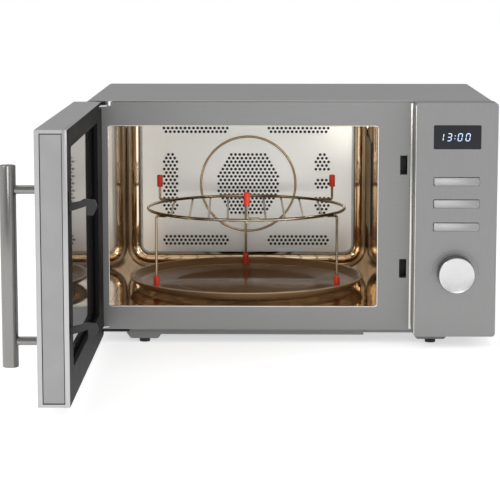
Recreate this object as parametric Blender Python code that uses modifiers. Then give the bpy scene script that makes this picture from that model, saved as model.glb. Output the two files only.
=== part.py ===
"""Countertop convection microwave oven with a metal rack, its door open at a right angle.

Every sub-part is modelled where it sits on the closed oven, in millimetres: x runs to the right,
y runs from the closed door towards the back, and z runs up from the worktop. The door group is
then swung open about its hinge, and the whole oven is shifted so that the world origin lies on
the worktop under the middle of its outer box.
"""

import math

import bmesh
import bpy
from mathutils import Matrix, Vector

MM = 0.001
GAP = 0.3
SHEET = 1.2

# Cabinet
BODY_WIDTH = 512.0
BODY_TOP = 307.0
COVER_BOTTOM = 15.0
COVER_FRONT = 36.4
COVER_BACK = 371.0
COVER_RADIUS = 6.4
FRONT_PLATE_Y = 36.0
REAR_COVER_BACK = 420.0
BASE_TOP = 14.7

# Cooking cavity
CAVITY_LEFT, CAVITY_RIGHT = -228.2, 111.0
CAVITY_BOTTOM, CAVITY_TOP = 46.4, 276.1
CAVITY_BACK = 368.0
PRESS_RADIUS = 21.0
LINER_FRONT = 37.5
FAN_X, FAN_Z = -57.0, 165.0

# Turntable and rack
TURN_X, TURN_Y = -57.0, 198.0
TRAY_RADIUS = 156.5
TRAY_UNDERSIDE = 49.5
TRAY_FLOOR = 53.5
TRAY_RIM = 62.5
WELL_RADIUS = 125.0
WELL_FLOOR = 36.4
ROLLER_RADIUS = 6.3
ROLLER_TRACK = 102.5
ROLLER_HEIGHT = WELL_FLOOR + GAP + ROLLER_RADIUS
RACK_RADIUS = 131.0
RACK_HEIGHT = 152.4
RACK_LEG_RADIUS = 136.2
RACK_TURN = 1.2
RACK_WIRES = 9
RACK_WIRE_PITCH = 24.7
CAP_LENGTH = 16.5

# Door, described in its closed position
DOOR_LEFT, DOOR_RIGHT = -256.0, 153.2
DOOR_BOTTOM, DOOR_TOP = 12.0, 306.5
DOOR_SKIN_DEPTH = 29.2
DOOR_DEPTH = 34.4
HINGE_X, HINGE_Y = -250.5, 18.0
DOOR_OPEN_ANGLE = math.radians(-90)
RECESS = (-197.0, 113.0, 48.0, 285.0)
GLASS_SEAT = (-203.0, 119.0, 42.0, 291.0)
WINDOW_SEAT = (-190.0, 106.0, 55.0, 278.0)
WINDOW = (-186.0, 84.0, 60.0, 273.0)
UPPER_BRACKET_Z, LOWER_BRACKET_Z = 299.2, 19.2
BRACKET_THICKNESS = 2.0
HOOK_X = 141.5
HOOK_THICKNESS = 3.8
HOOK_REACH = 30.0
UPPER_HOOK_Z, LOWER_HOOK_Z = 224.0, 92.6
HANDLE_X, HANDLE_Y = 125.0, -31.7
HANDLE_RADIUS = 8.75
HANDLE_BOTTOM, HANDLE_TOP = 50.5, 267.1
POST_HEIGHTS = (78.6, 241.0)
POST_RADIUS = 4.75

# Control panel
PANEL_LEFT, PANEL_RIGHT = 154.6, 256.0
PANEL_BOTTOM, PANEL_TOP = 15.3, 307.0
PANEL_DEPTH = 35.7
PANEL_WALL = 2.5
DISPLAY = (176.7, 235.1, 249.9, 279.5)
BUTTON_LEFT, BUTTON_RIGHT = 177.6, 233.7
BUTTON_HEIGHTS = (210.0, 182.3, 153.5)
BUTTON_SIZE = 10.0
KNOB_X, KNOB_Z = 205.7, 95.6
KNOB_RADIUS = 22.4
KNOB_REACH = 22.0

# Oven outline at rest, which gives the shift to the world origin
REST_LEFT = HINGE_X - HINGE_Y + HANDLE_Y - HANDLE_RADIUS
REST_FRONT = HINGE_Y - (DOOR_RIGHT - HINGE_X)
SHIFT = Vector((-(REST_LEFT + BODY_WIDTH / 2) / 2, -(REST_FRONT + REAR_COVER_BACK) / 2, 0)) * MM

COLOURS = {
    "steel": ((0.30, 0.30, 0.30), 0.35, 1.0),
    "bright": ((0.62, 0.60, 0.56), 0.15, 1.0),
    "zinc": ((0.45, 0.46, 0.47), 0.45, 1.0),
    "dark": ((0.03, 0.03, 0.03), 0.45, 0.0),
    "black": ((0.01, 0.01, 0.01), 0.5, 0.0),
    "grey": ((0.50, 0.50, 0.50), 0.5, 0.0),
    "red": ((0.75, 0.05, 0.02), 0.5, 0.0),
    "amber": ((0.25, 0.16, 0.08), 0.05, 0.0),
    "smoke": ((0.02, 0.02, 0.02), 0.05, 0.0),
    "board": ((0.02, 0.16, 0.07), 0.5, 0.0),
    "mica": ((0.55, 0.50, 0.40), 0.7, 0.0),
    "white": ((0.75, 0.75, 0.72), 0.4, 0.0),
}


def clear_scene():
    for obj in list(bpy.data.objects):
        bpy.data.objects.remove(obj)


def new_collection(name):
    collection = bpy.data.collections.new(name)
    bpy.context.scene.collection.children.link(collection)
    return collection


clear_scene()
PARTS = new_collection("microwave_oven")
CUTTERS = new_collection("cutters")
CUTTERS.hide_render = True


def material(name):
    """The named Principled material, made the first time that it is asked for."""
    found = bpy.data.materials.get(name)
    if found:
        return found
    colour, roughness, metallic = COLOURS[name]
    made = bpy.data.materials.new(name)
    made.use_nodes = True
    shader = made.node_tree.nodes["Principled BSDF"]
    shader.inputs["Base Color"].default_value = (*colour, 1)
    shader.inputs["Roughness"].default_value = roughness
    shader.inputs["Metallic"].default_value = metallic
    made.diffuse_color = (*colour, 1)
    return made


def new_group(name, pivot=(0, 0, 0), parent=None):
    """An empty on a joint's axis. Its children keep the oven's own coordinates."""
    empty = bpy.data.objects.new(name, None)
    PARTS.objects.link(empty)
    empty["pivot"] = [value * MM for value in pivot]
    empty.parent = parent
    start = Vector(parent["pivot"]) if parent else Vector()
    empty.location = Vector(empty["pivot"]) - start
    return empty


def add_object(name, mesh, group, look):
    """A part when it has a look, or a cutter when it has none."""
    obj = bpy.data.objects.new(name, mesh)
    obj.parent = group
    obj.location = -Vector(group["pivot"])
    if look:
        PARTS.objects.link(obj)
        mesh.materials.append(material(look))
    else:
        CUTTERS.objects.link(obj)
        obj.hide_render = True
        obj.display_type = "WIRE"
    return obj


def finish_mesh(name, bm, matrix=None):
    """The bmesh as a mesh in metres, after an optional turn and move in millimetres."""
    if matrix:
        bm.transform(matrix)
    bm.transform(Matrix.Scale(MM, 4))
    mesh = bpy.data.meshes.new(name)
    bm.to_mesh(mesh)
    bm.free()
    return mesh


def along(axis, centre):
    """The matrix that turns +Z onto an axis letter and moves the origin to the centre."""
    turns = {
        "X": Matrix.Rotation(math.pi / 2, 4, "Y"),
        "Y": Matrix.Rotation(-math.pi / 2, 4, "X"),
        "Z": Matrix.Identity(4),
    }
    return Matrix.Translation(Vector(centre)) @ turns[axis]


def box(name, xs, ys, zs, group, look=None, bevel=0.0, turn=None):
    """A box between pairs of coordinates, with optional rounded edges."""
    bm = bmesh.new()
    bmesh.ops.create_cube(bm, size=1)
    size = [pair[1] - pair[0] for pair in (xs, ys, zs)]
    centre = [(pair[1] + pair[0]) / 2 for pair in (xs, ys, zs)]
    bm.transform(Matrix.Translation(centre) @ Matrix.Diagonal((*size, 1)))
    obj = add_object(name, finish_mesh(name, bm, turn), group, look)
    if bevel:
        rounding = obj.modifiers.new("rounded_edges", "BEVEL")
        rounding.width = bevel * MM
        rounding.segments = 2
    return obj


def cylinder(name, centre, radius, length, axis, group, look=None, segments=24, turn=None):
    """A cylinder whose centre, radius, length and axis letter are given."""
    bm = bmesh.new()
    bmesh.ops.create_cone(
        bm, cap_ends=True, segments=segments, radius1=radius, radius2=radius, depth=length
    )
    bm.transform(along(axis, centre))
    obj = add_object(name, finish_mesh(name, bm, turn), group, look)
    smooth(obj)
    return obj


def turned(name, profile, axis, centre, group, look=None, steps=32):
    """A solid turned from (radius, height) points that run down its outer side.

    A profile that starts off the axis is closed into a ring.
    """
    mesh = bpy.data.meshes.new(name)
    points = [(radius * MM, 0, height * MM) for radius, height in profile]
    edges = [(i, i + 1) for i in range(len(points) - 1)]
    if profile[0][0] > 0:
        edges.append((len(points) - 1, 0))
    mesh.from_pydata(points, edges, [])
    obj = add_object(name, mesh, group, look)
    obj.matrix_local = Matrix.Translation(obj.location) @ along(axis, Vector(centre) * MM)
    screw = obj.modifiers.new("turned", "SCREW")
    screw.steps = steps
    screw.render_steps = steps
    screw.use_merge_vertices = True
    screw.merge_threshold = 0.00001
    return obj


def rounded_rectangle(left, right, bottom, top, radius, steps=4):
    """The outline of a rectangle with round corners, anticlockwise."""
    corners = (
        (right - radius, top - radius, 0),
        (left + radius, top - radius, 90),
        (left + radius, bottom + radius, 180),
        (right - radius, bottom + radius, 270),
    )
    outline = []
    for x, z, start in corners:
        for step in range(steps + 1):
            angle = math.radians(start + 90 * step / steps)
            outline.append((x + radius * math.cos(angle), z + radius * math.sin(angle)))
    return outline


def mesh_of_curve(name, curve):
    """The mesh of a curve with its caps welded, so that it takes Booleans."""
    source = bpy.data.objects.new(name + "_curve", curve)
    CUTTERS.objects.link(source)
    graph = bpy.context.evaluated_depsgraph_get()
    mesh = bpy.data.meshes.new_from_object(source.evaluated_get(graph))
    bpy.data.objects.remove(source)
    bm = bmesh.new()
    bm.from_mesh(mesh)
    bmesh.ops.remove_doubles(bm, verts=bm.verts, dist=1e-7)
    if bm.calc_volume(signed=True) < 0:
        bmesh.ops.reverse_faces(bm, faces=bm.faces)
    bm.to_mesh(mesh)
    bm.free()
    mesh.name = name
    return mesh


def plate(name, outline, low, high, axis, group, look=None):
    """A flat plate with an (across, up) outline, between two places along an axis."""
    curve = bpy.data.curves.new(name, "CURVE")
    curve.dimensions = "2D"
    curve.fill_mode = "BOTH"
    curve.extrude = (high - low) / 2 * MM
    spline = curve.splines.new("POLY")
    spline.points.add(len(outline) - 1)
    for point, (across, up) in zip(spline.points, outline):
        point.co = (across * MM, up * MM, 0, 1)
    spline.use_cyclic_u = True
    mesh = mesh_of_curve(name, curve)
    middle = (low + high) / 2 * MM
    turns = {
        "X": Matrix(((0, 0, 1, middle), (1, 0, 0, 0), (0, 1, 0, 0), (0, 0, 0, 1))),
        "Y": Matrix(((1, 0, 0, 0), (0, 0, 1, middle), (0, 1, 0, 0), (0, 0, 0, 1))),
        "Z": Matrix.Translation((0, 0, middle)),
    }
    mesh.transform(turns[axis])
    if axis == "Y":
        mesh.flip_normals()
    return add_object(name, mesh, group, look)


def rod(name, points, radius, group, look=None, closed=False, sides=8):
    """A round wire through points, with flat ends."""
    curve = bpy.data.curves.new(name, "CURVE")
    curve.dimensions = "3D"
    curve.bevel_depth = radius * MM
    curve.bevel_resolution = max(0, sides // 2 - 2)
    curve.use_fill_caps = True
    spline = curve.splines.new("POLY")
    spline.points.add(len(points) - 1)
    for point, place in zip(spline.points, points):
        point.co = (*[value * MM for value in place], 1)
    spline.use_cyclic_u = closed
    obj = add_object(name, mesh_of_curve(name, curve), group, look)
    smooth(obj)
    return obj


def sheet(name, outline, low, high, thickness, group, look):
    """A folded sheet: an open (x, z) line drawn out along y, with its thickness centred on it."""
    bm = bmesh.new()
    verts = [bm.verts.new((x, low, z)) for x, z in outline]
    edges = [bm.edges.new(pair) for pair in zip(verts, verts[1:])]
    drawn = bmesh.ops.extrude_edge_only(bm, edges=edges)["geom"]
    moved = [item for item in drawn if isinstance(item, bmesh.types.BMVert)]
    bmesh.ops.translate(bm, verts=moved, vec=(0, high - low, 0))
    obj = add_object(name, finish_mesh(name, bm), group, look)
    solid = obj.modifiers.new("thickness", "SOLIDIFY")
    solid.thickness = thickness * MM
    solid.offset = 0
    solid.use_even_offset = True
    return obj


def combine(target, operation, tools):
    for tool in tools:
        modifier = target.modifiers.new(tool.name, "BOOLEAN")
        modifier.operation = operation
        modifier.solver = "EXACT"
        modifier.object = tool
    return target


def cut(target, *tools):
    return combine(target, "DIFFERENCE", tools)


def join(target, *tools):
    return combine(target, "UNION", tools)


def smooth(obj):
    obj.data.shade_smooth()
    obj.data.set_sharp_from_angle(angle=math.radians(35))


def opening(name, frame, ys, group, radius=3.0):
    """A cutter for a window with round corners, from (left, right, bottom, top)."""
    return plate(name, rounded_rectangle(*frame, radius), *ys, "Y", group)


def grown(frame, by):
    """A (left, right, bottom, top) frame made larger, or smaller when by is negative."""
    left, right, bottom, top = frame
    return (left - by, right + by, bottom - by, top + by)


def polar(radius, degrees, centre=(0.0, 0.0)):
    angle = math.radians(degrees)
    return (centre[0] + radius * math.cos(angle), centre[1] + radius * math.sin(angle))


def outer_cover(oven):
    """The wrap over the top and both sides, with a flange turned in at each foot."""
    side = BODY_WIDTH / 2 - SHEET / 2
    top = BODY_TOP - SHEET / 2
    bottom = COVER_BOTTOM + SHEET / 2
    radius = COVER_RADIUS - SHEET / 2
    flange = side - 12
    line = [(-flange, bottom), (-side, bottom)]
    for step in range(5):
        line.append(polar(radius, 180 - 22.5 * step, (-side + radius, top - radius)))
    for step in range(5):
        line.append(polar(radius, 90 - 22.5 * step, (side - radius, top - radius)))
    line += [(side, bottom), (flange, bottom)]
    sheet("outer_cover", line, COVER_FRONT, COVER_BACK, SHEET, oven, "steel")


def base_plate(oven):
    """The floor pan, with a lip at the front and a pad pressed down over each foot."""
    half = BODY_WIDTH / 2 - 6
    bottom = BASE_TOP - 1.5
    pan = box("base_plate", (-half, half), (37.6, 370), (bottom, BASE_TOP), oven, "zinc")
    lip = box("base_lip", (-160, 93), (37.6, 39.1), (9.5, bottom + 0.5), oven)
    join(pan, lip)
    for number, (x, y) in enumerate(foot_places(), 1):
        pad = box(
            f"foot_pad_{number}", (x - 24, x + 24), (y - 9, y + 20), (4.5, bottom + 0.5), oven
        )
        join(pan, pad)
        turned(
            f"foot_{number}",
            ((0, 4.2), (7.0, 4.2), (6.6, 0), (0, 0)),
            "Z",
            (x, y, 0),
            oven,
            "black",
            16,
        )
    return pan


def foot_places():
    return [(x, y) for y in (47.0, 340.0) for x in (-184.0, 179.0)]


def front_plate(oven):
    """The oven's face behind the door, with the cavity mouth and the two latch slots."""
    half = BODY_WIDTH / 2 - 1.8
    outline = rounded_rectangle(-half, half, 17.0, 305.4, 4.5)
    face = plate(
        "front_plate", outline, FRONT_PLATE_Y, FRONT_PLATE_Y + SHEET, "Y", oven, "steel"
    )
    through = (FRONT_PLATE_Y - 5, FRONT_PLATE_Y + 5)
    mouth = (CAVITY_LEFT, CAVITY_RIGHT, CAVITY_BOTTOM, CAVITY_TOP)
    cut(face, opening("mouth_cutter", mouth, through, oven, 3.5))
    cut(face, opening("electronics_cutter", (164, 246, 26, 296), through, oven))
    for name, low, high in (("upper", 214.4, 238.5), ("lower", 83.9, 107.6)):
        cut(face, box(f"{name}_slot_cutter", (138.2, 146.8), through, (low, high), oven))
    cut(face, box("hinge_notch_cutter", (-246, -224), through, (300.4, 310), oven))
    return face


def cavity(oven):
    """Roof and side walls in one folded sheet, a pressed back wall and a floor with a well."""
    left, right = CAVITY_LEFT - SHEET / 2, CAVITY_RIGHT + SHEET / 2
    top = CAVITY_TOP + SHEET / 2
    foot = CAVITY_BOTTOM + GAP
    line = [(left, foot), (left, top), (right, top), (right, foot)]
    back_edge = CAVITY_BACK - PRESS_RADIUS
    sheet("cavity_liner", line, LINER_FRONT, back_edge, SHEET, oven, "bright")
    cavity_floor(oven, back_edge)
    cavity_back_wall(oven, back_edge)


def cavity_floor(oven, back_edge):
    low = CAVITY_BOTTOM - SHEET
    ys = (LINER_FRONT, back_edge)
    xs = (CAVITY_LEFT - SHEET, CAVITY_RIGHT + SHEET)
    floor = box("cavity_floor", xs, ys, (low, CAVITY_BOTTOM), oven, "bright")
    centre = (TURN_X, TURN_Y, 0)
    hole = cylinder("well_cutter", (TURN_X, TURN_Y, 45), WELL_RADIUS, 8, "Z", oven, None, 36)
    under = WELL_FLOOR - SHEET
    wall = (
        (WELL_RADIUS - 4, under),
        (WELL_RADIUS - 4, WELL_FLOOR),
        (WELL_RADIUS - 1, CAVITY_BOTTOM),
        (WELL_RADIUS + 2, CAVITY_BOTTOM),
        (WELL_RADIUS + 2, low),
        (WELL_RADIUS, low),
        (WELL_RADIUS - 3, under),
    )
    join(cut(floor, hole), turned("well_wall", wall, "Z", centre, oven, None, 36))
    disc = [(radius, z) for radius, z in ((10.0, WELL_FLOOR), (WELL_RADIUS - 4 - GAP, WELL_FLOOR))]
    disc += [(radius, under) for radius, _ in reversed(disc)]
    turned("turntable_well", disc, "Z", centre, oven, "bright", 36)


def pressed_block(name, grow, group, look=None):
    """A block whose back edges are rounded by the pressing radius."""
    bm = bmesh.new()
    bmesh.ops.create_cube(bm, size=1)
    xs = (CAVITY_LEFT - grow, CAVITY_RIGHT + grow)
    zs = (CAVITY_BOTTOM - grow, CAVITY_TOP + grow)
    ys = (300 + 10 * grow, CAVITY_BACK + grow)
    size = [pair[1] - pair[0] for pair in (xs, ys, zs)]
    centre = [(pair[1] + pair[0]) / 2 for pair in (xs, ys, zs)]
    bm.transform(Matrix.Translation(centre) @ Matrix.Diagonal((*size, 1)))
    back = [edge for edge in bm.edges if all(abs(v.co.y - ys[1]) < 0.01 for v in edge.verts)]
    bmesh.ops.bevel(
        bm,
        geom=back,
        offset=PRESS_RADIUS + grow,
        offset_type="OFFSET",
        segments=5,
        profile=0.5,
        affect="EDGES",
    )
    return add_object(name, finish_mesh(name, bm), group, look)


def cavity_back_wall(oven, back_edge):
    wall = pressed_block("cavity_back_wall", SHEET, oven, "bright")
    cut(wall, pressed_block("back_wall_hollow", 0, oven))
    ahead = box("back_wall_trim", (-300, 200), (250, back_edge + GAP), (0, 320), oven)
    cut(wall, ahead)
    ring = turned(
        "fan_ring",
        ((68.8, 0.9), (70.0, 0.3), (68.8, -1.2), (67.6, 0.3)),
        "Y",
        (FAN_X, CAVITY_BACK, FAN_Z),
        oven,
        None,
        48,
    )
    join(wall, ring)


def rear_panel(oven):
    """The back sheet, with a round opening for the fan chamber and vent slots at the right."""
    outline = rounded_rectangle(-250, 250, 16, 303, 4)
    ys = (COVER_BACK + GAP, COVER_BACK + GAP + SHEET)
    panel = plate("rear_panel", outline, *ys, "Y", oven, "zinc")
    cut(panel, cylinder("chamber_cutter", (FAN_X, 372, FAN_Z), 118, 12, "Y", oven, None, 32))
    for row in range(7):
        z = 195 + 11 * row
        cut(panel, box(f"vent_cutter_{row}", (155, 232), (366, 378), (z, z + 5), oven))
    cut(panel, cylinder("inlet_cutter", (205, 372, 45), 8.3, 12, "Y", oven))
    gland = (
        (0, 12),
        (6.5, 12),
        (7.5, 5),
        (11, 5),
        (11, 1.6 + GAP),
        (8.0, 1.6 + GAP),
        (8.0, -6),
        (0, -6),
    )
    turned("cord_gland", gland, "Y", (205, 371.2, 45), oven, "black", 20)


def convection_unit(oven):
    """Fan, heater ring and motor behind the back wall, in their chamber and vented cover."""
    centre = (FAN_X, CAVITY_BACK, FAN_Z)
    start = SHEET + GAP
    chamber = (
        (9, 27),
        (104, 27),
        (109, start + SHEET),
        (114, start + SHEET),
        (114, start),
        (108, start),
        (103, 27 - SHEET),
        (9, 27 - SHEET),
    )
    turned("convection_chamber", chamber, "Y", centre, oven, "zinc", 32)
    ring = [
        (FAN_X + 92 * math.cos(a), CAVITY_BACK + 14, FAN_Z + 92 * math.sin(a))
        for a in (math.tau * i / 28 for i in range(28))
    ]
    rod("convection_heater", ring, 3.5, oven, "dark", closed=True)
    fan_group = new_group("convection_fan_axis", centre, oven)
    fan = cylinder(
        "convection_fan", (FAN_X, CAVITY_BACK + 20, FAN_Z), 70, 1.2, "Y", fan_group, "zinc", 32
    )
    for number in range(8):
        spin = Matrix.Rotation(math.tau * number / 8, 4, "Y")
        turn = Matrix.Translation(centre) @ spin
        blade = box(f"blade_{number}", (22, 66), (6, 20), (-0.8, 0.8), fan_group, None, 0, turn)
        join(fan, blade)
    shaft = (FAN_X, CAVITY_BACK + 21, FAN_Z)
    join(fan, cylinder("fan_shaft", shaft, 4, 16, "Y", fan_group, None, 12))
    motor = cylinder("convection_motor", (FAN_X, 403.5, FAN_Z), 28, 15, "Y", oven, "zinc")
    cut(motor, cylinder("shaft_bore", (FAN_X, 395, FAN_Z), 5, 12, "Y", oven, None, 12))
    rear_cover(oven)


def rear_cover(oven):
    """The vented box over the convection unit, on the outside of the rear panel."""
    xs, zs = (FAN_X - 125, FAN_X + 125), (45.0, 285.0)
    front = COVER_BACK + SHEET + 2 * GAP
    cover = box("rear_cover", xs, (front, REAR_COVER_BACK), zs, oven, "zinc", 6)
    inner_x, inner_z = (xs[0] + 1.5, xs[1] - 1.5), (zs[0] + 1.5, zs[1] - 1.5)
    hollow = box(
        "rear_cover_hollow", inner_x, (front - 20, REAR_COVER_BACK - 1.5), inner_z, oven, None, 4
    )
    cut(cover, hollow)
    cut(cover, box("rear_cover_trim", (-300, 200), (300, front), (0, 320), oven))
    for row in range(6):
        z = 110 + 20 * row
        slot = box(f"rear_slot_{row}", (FAN_X - 60, FAN_X + 60), (410, 430), (z, z + 6), oven)
        cut(cover, slot)


def microwave_source(oven):
    """Waveguide and its cover, magnetron, transformer and lamp."""
    ys, zs = (225, 325), (118, 258)
    guide = box("waveguide", (112.8, 150), ys, zs, oven, "zinc")
    inside = box("guide_hollow", (100, 148.5), (226.5, 323.5), (119.5, 256.5), oven)
    port = cylinder("antenna_port", (149, 275, 226), 12.5, 10, "X", oven, None, 20)
    cut(guide, inside, port)
    box("waveguide_cover", (109.4, 110.7), (215, 335), (114, 237), oven, "mica", 0.4)
    tube = box("magnetron", (150.3, 232), (237, 313), (192, 260), oven, "zinc")
    for fin in range(7):
        x = 168 + 7 * fin
        gap = box(f"fin_gap_{fin}", (x, x + 4), (225, 325), (204, 248), oven)
        core = cylinder(f"fin_core_{fin}", (x + 2, 275, 226), 16, 6, "X", oven, None, 16)
        cut(tube, cut(gap, core))
    join(tube, cylinder("antenna", (141, 275, 226), 10, 22, "X", oven, None, 16))
    core = box("transformer", (165, 243), (70, 150), (BASE_TOP + GAP, 84), oven, "zinc", 1)
    coil = box("transformer_coil", (176, 232), (58, 162), (30, 70), oven, None, 6)
    join(core, coil)
    lamp = cylinder("cavity_lamp", (131, 125, 250), 11, 30, "X", oven, "white", 20)
    cut(lamp, cylinder("lamp_socket_cut", (147, 125, 250), 7, 12, "X", oven, None, 12))


def cooling_fan(oven):
    """Axial fan and its duct at the back right, which cool the magnetron."""
    x, z = 195.0, 225.0
    duct = box("cooling_duct", (x - 52, x + 52), (330, 366), (z - 50, z + 50), oven, "grey", 3)
    cut(duct, cylinder("duct_bore", (x, 348, z), 46, 60, "Y", oven, None, 28))
    for side in (-1, 1):
        arm = (x + side * 33, 359, z + 1.3)
        join(duct, cylinder(f"duct_arm_{side + 1}", arm, 2.5, 32, "X", oven, None, 10))
    join(duct, cylinder("duct_motor", (x, 358, z), 20, 13, "Y", oven, None, 20))
    fan_group = new_group("cooling_fan_axis", (x, 340, z), oven)
    hub = cylinder("cooling_fan", (x, 341, z), 13, 18, "Y", fan_group, "grey", 20)
    for number in range(5):
        pitch = Matrix.Rotation(math.radians(35), 4, "X")
        spin = Matrix.Rotation(math.tau * number / 5, 4, "Y")
        turn = Matrix.Translation((x, 341, z)) @ spin @ pitch
        blade = box(f"fan_blade_{number}", (10, 43), (-0.8, 0.8), (-9, 9), fan_group, None, 0, turn)
        join(hub, blade)


def turntable(oven):
    """Motor, drive coupler, roller ring with three rollers, and the glass tray."""
    motor = cylinder("turntable_motor", (TURN_X, TURN_Y, 25.2), 25, 18, "Z", oven, "zinc")
    shaft = (TURN_X, TURN_Y, 34)
    join(motor, cylinder("motor_shaft", shaft, 3.5, 5.6, "Z", oven, None, 12))
    axis = (TURN_X, TURN_Y, 0)
    table = new_group("turntable_axis", axis, oven)
    hub = cylinder("drive_coupler", (TURN_X, TURN_Y, 43.1), 9, 12, "Z", table, "white", 18)
    for number in range(3):
        spot = (*polar(9, 120 * number, (TURN_X, TURN_Y)), 45)
        join(hub, cylinder(f"coupler_lobe_{number}", spot, 5, 8, "Z", table, None, 12))
    profile = (
        (0, TRAY_FLOOR),
        (141, TRAY_FLOOR),
        (145.6, TRAY_FLOOR + 2.2),
        (151.5, TRAY_RIM - 0.8),
        (153.8, TRAY_RIM),
        (TRAY_RADIUS, TRAY_RIM - 1.2),
        (TRAY_RADIUS - 0.6, TRAY_RIM - 3),
        (147, TRAY_FLOOR - 0.8),
        (138, TRAY_UNDERSIDE),
        (0, TRAY_UNDERSIDE),
    )
    turned("glass_tray", profile, "Z", axis, table, "amber", 48)
    rollers = new_group("roller_ring_axis", axis, oven)
    band = (
        (97, ROLLER_HEIGHT + 2.5),
        (97, ROLLER_HEIGHT - 2.5),
        (91, ROLLER_HEIGHT - 2.5),
        (91, ROLLER_HEIGHT + 2.5),
    )
    ring = turned("roller_ring", band, "Z", axis, rollers, "grey", 32)
    for number in range(3):
        degrees = 90 + 120 * number
        turn = Matrix.Translation((TURN_X, TURN_Y, ROLLER_HEIGHT)) @ Matrix.Rotation(
            math.radians(degrees), 4, "Z"
        )
        axle = cylinder(
            f"axle_{number + 1}", (101, 0, 0), 1.8, 13, "X", rollers, None, 10, turn
        )
        join(ring, axle)
        pivot = (*polar(ROLLER_TRACK, degrees, (TURN_X, TURN_Y)), ROLLER_HEIGHT)
        spin = new_group(f"roller_{number + 1}_axis", pivot, rollers)
        wheel = cylinder(
            f"roller_{number + 1}",
            (ROLLER_TRACK, 0, 0),
            ROLLER_RADIUS,
            8,
            "X",
            spin,
            "white",
            20,
            turn,
        )
        bore = cylinder(
            f"roller_bore_{number}", (ROLLER_TRACK, 0, 0), 2.2, 20, "X", spin, None, 10, turn
        )
        cut(wheel, bore)
    rack(table)


def rack(table):
    """Round wire rack on three long legs, with three short legs that hold it upside down."""
    centre = (TURN_X, TURN_Y)
    table = new_group("rack_turn", (*centre, 0), table)
    table.rotation_euler.z = math.radians(RACK_TURN)
    ring = [(*polar(RACK_RADIUS, 10 * i, centre), RACK_HEIGHT) for i in range(36)]
    frame = rod("rack_frame", ring, 2.0, table, "bright", closed=True)
    for number in range(RACK_WIRES):
        offset = (number - (RACK_WIRES - 1) / 2) * RACK_WIRE_PITCH
        half = math.sqrt(RACK_RADIUS**2 - offset**2) + 0.8
        x, z = TURN_X + offset, RACK_HEIGHT - 2.6
        line = [(x, TURN_Y - half, z), (x, TURN_Y + half, z)]
        join(frame, rod(f"rack_wire_{number}", line, 1.4, table, None, sides=6))
    for number in range(6):
        degrees = 30 + 60 * number
        x, y = polar(RACK_LEG_RADIUS, degrees, centre)
        if number % 2:
            low, high, cap, bend = TRAY_FLOOR + 4, TRAY_FLOOR + 18, TRAY_FLOOR + GAP, -4
        else:
            low, high, cap, bend = 171.0, 186.0, 172.5, 4
        along_ring = 6 if (x < TURN_X - 1) == (number % 2 == 1) else -6
        weld = (*polar(RACK_RADIUS, degrees + along_ring, centre), RACK_HEIGHT + bend / 8)
        end = low if number % 2 else high
        line = [(x, y, end), (x, y, RACK_HEIGHT + bend), weld]
        join(frame, rod(f"rack_leg_{number}", line, 1.75, table))
        middle = (x, y, cap + CAP_LENGTH / 2)
        foot = cylinder(
            f"rack_cap_{number + 1}", middle, 4.0, CAP_LENGTH, "Z", table, "red", 16
        )
        bore = (x, y, (low + high) / 2)
        depth = high - low + 2 * GAP
        cut(foot, cylinder(f"cap_bore_{number}", bore, 2.1, depth, "Z", table, None, 12))


def control_panel(oven):
    """Fascia with its display window, circuit board, three push bars and the dial."""
    outline = rounded_rectangle(PANEL_LEFT, PANEL_RIGHT, PANEL_BOTTOM, PANEL_TOP, 4)
    fascia = plate("control_panel", outline, 0, PANEL_DEPTH, "Y", oven, "steel")
    inner = grown((PANEL_LEFT, PANEL_RIGHT, PANEL_BOTTOM, PANEL_TOP), -PANEL_WALL)
    cut(fascia, opening("panel_hollow", inner, (PANEL_WALL, PANEL_DEPTH + 5), oven, 2))
    cut(fascia, opening("display_cutter", DISPLAY, (-5, 10), oven, 1.5))
    inset = grown(DISPLAY, -GAP)
    outline = rounded_rectangle(*inset, 1.2)
    plate("display_window", outline, 0.3, 2.4, "Y", oven, "smoke")
    box("control_board", (162, 248), (14, 15.6), (60, 292), oven, "board")
    for number, z in enumerate(BUTTON_HEIGHTS, 1):
        push_bar(oven, fascia, number, z)
    dial(oven, fascia)


def push_bar(oven, fascia, number, z):
    """One push bar, with the flange and stem that hold it behind the fascia."""
    half = BUTTON_SIZE / 2
    middle = (BUTTON_LEFT + BUTTON_RIGHT) / 2
    hole = (BUTTON_LEFT - 0.4, BUTTON_RIGHT + 0.4, z - half - 0.4, z + half + 0.4)
    cut(fascia, opening(f"button_{number}_cutter", hole, (-5, 10), oven, 1.2))
    slide = new_group(f"button_{number}_slide", (middle, 0, z), oven)
    face = rounded_rectangle(BUTTON_LEFT, BUTTON_RIGHT, z - half, z + half, 1.0, 2)
    bar = plate(f"button_{number}", face, -3.0, 6.0, "Y", slide, "grey")
    slope = Matrix.Translation((middle, -3, z + half)) @ Matrix.Rotation(math.radians(-9), 4, "X")
    wedge = box(f"wedge_{number}", (-40, 40), (-12, 0), (-20, 2), slide, None, 0, slope)
    cut(bar, wedge)
    flange = box(
        f"button_{number}_flange",
        (BUTTON_LEFT - 2, BUTTON_RIGHT + 2),
        (5.0, 6.5),
        (z - half - 2, z + half + 2),
        slide,
    )
    stem = cylinder(f"button_{number}_stem", (middle, 9, z), 2.5, 6, "Y", slide, None, 10)
    join(bar, flange, stem)


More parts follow.
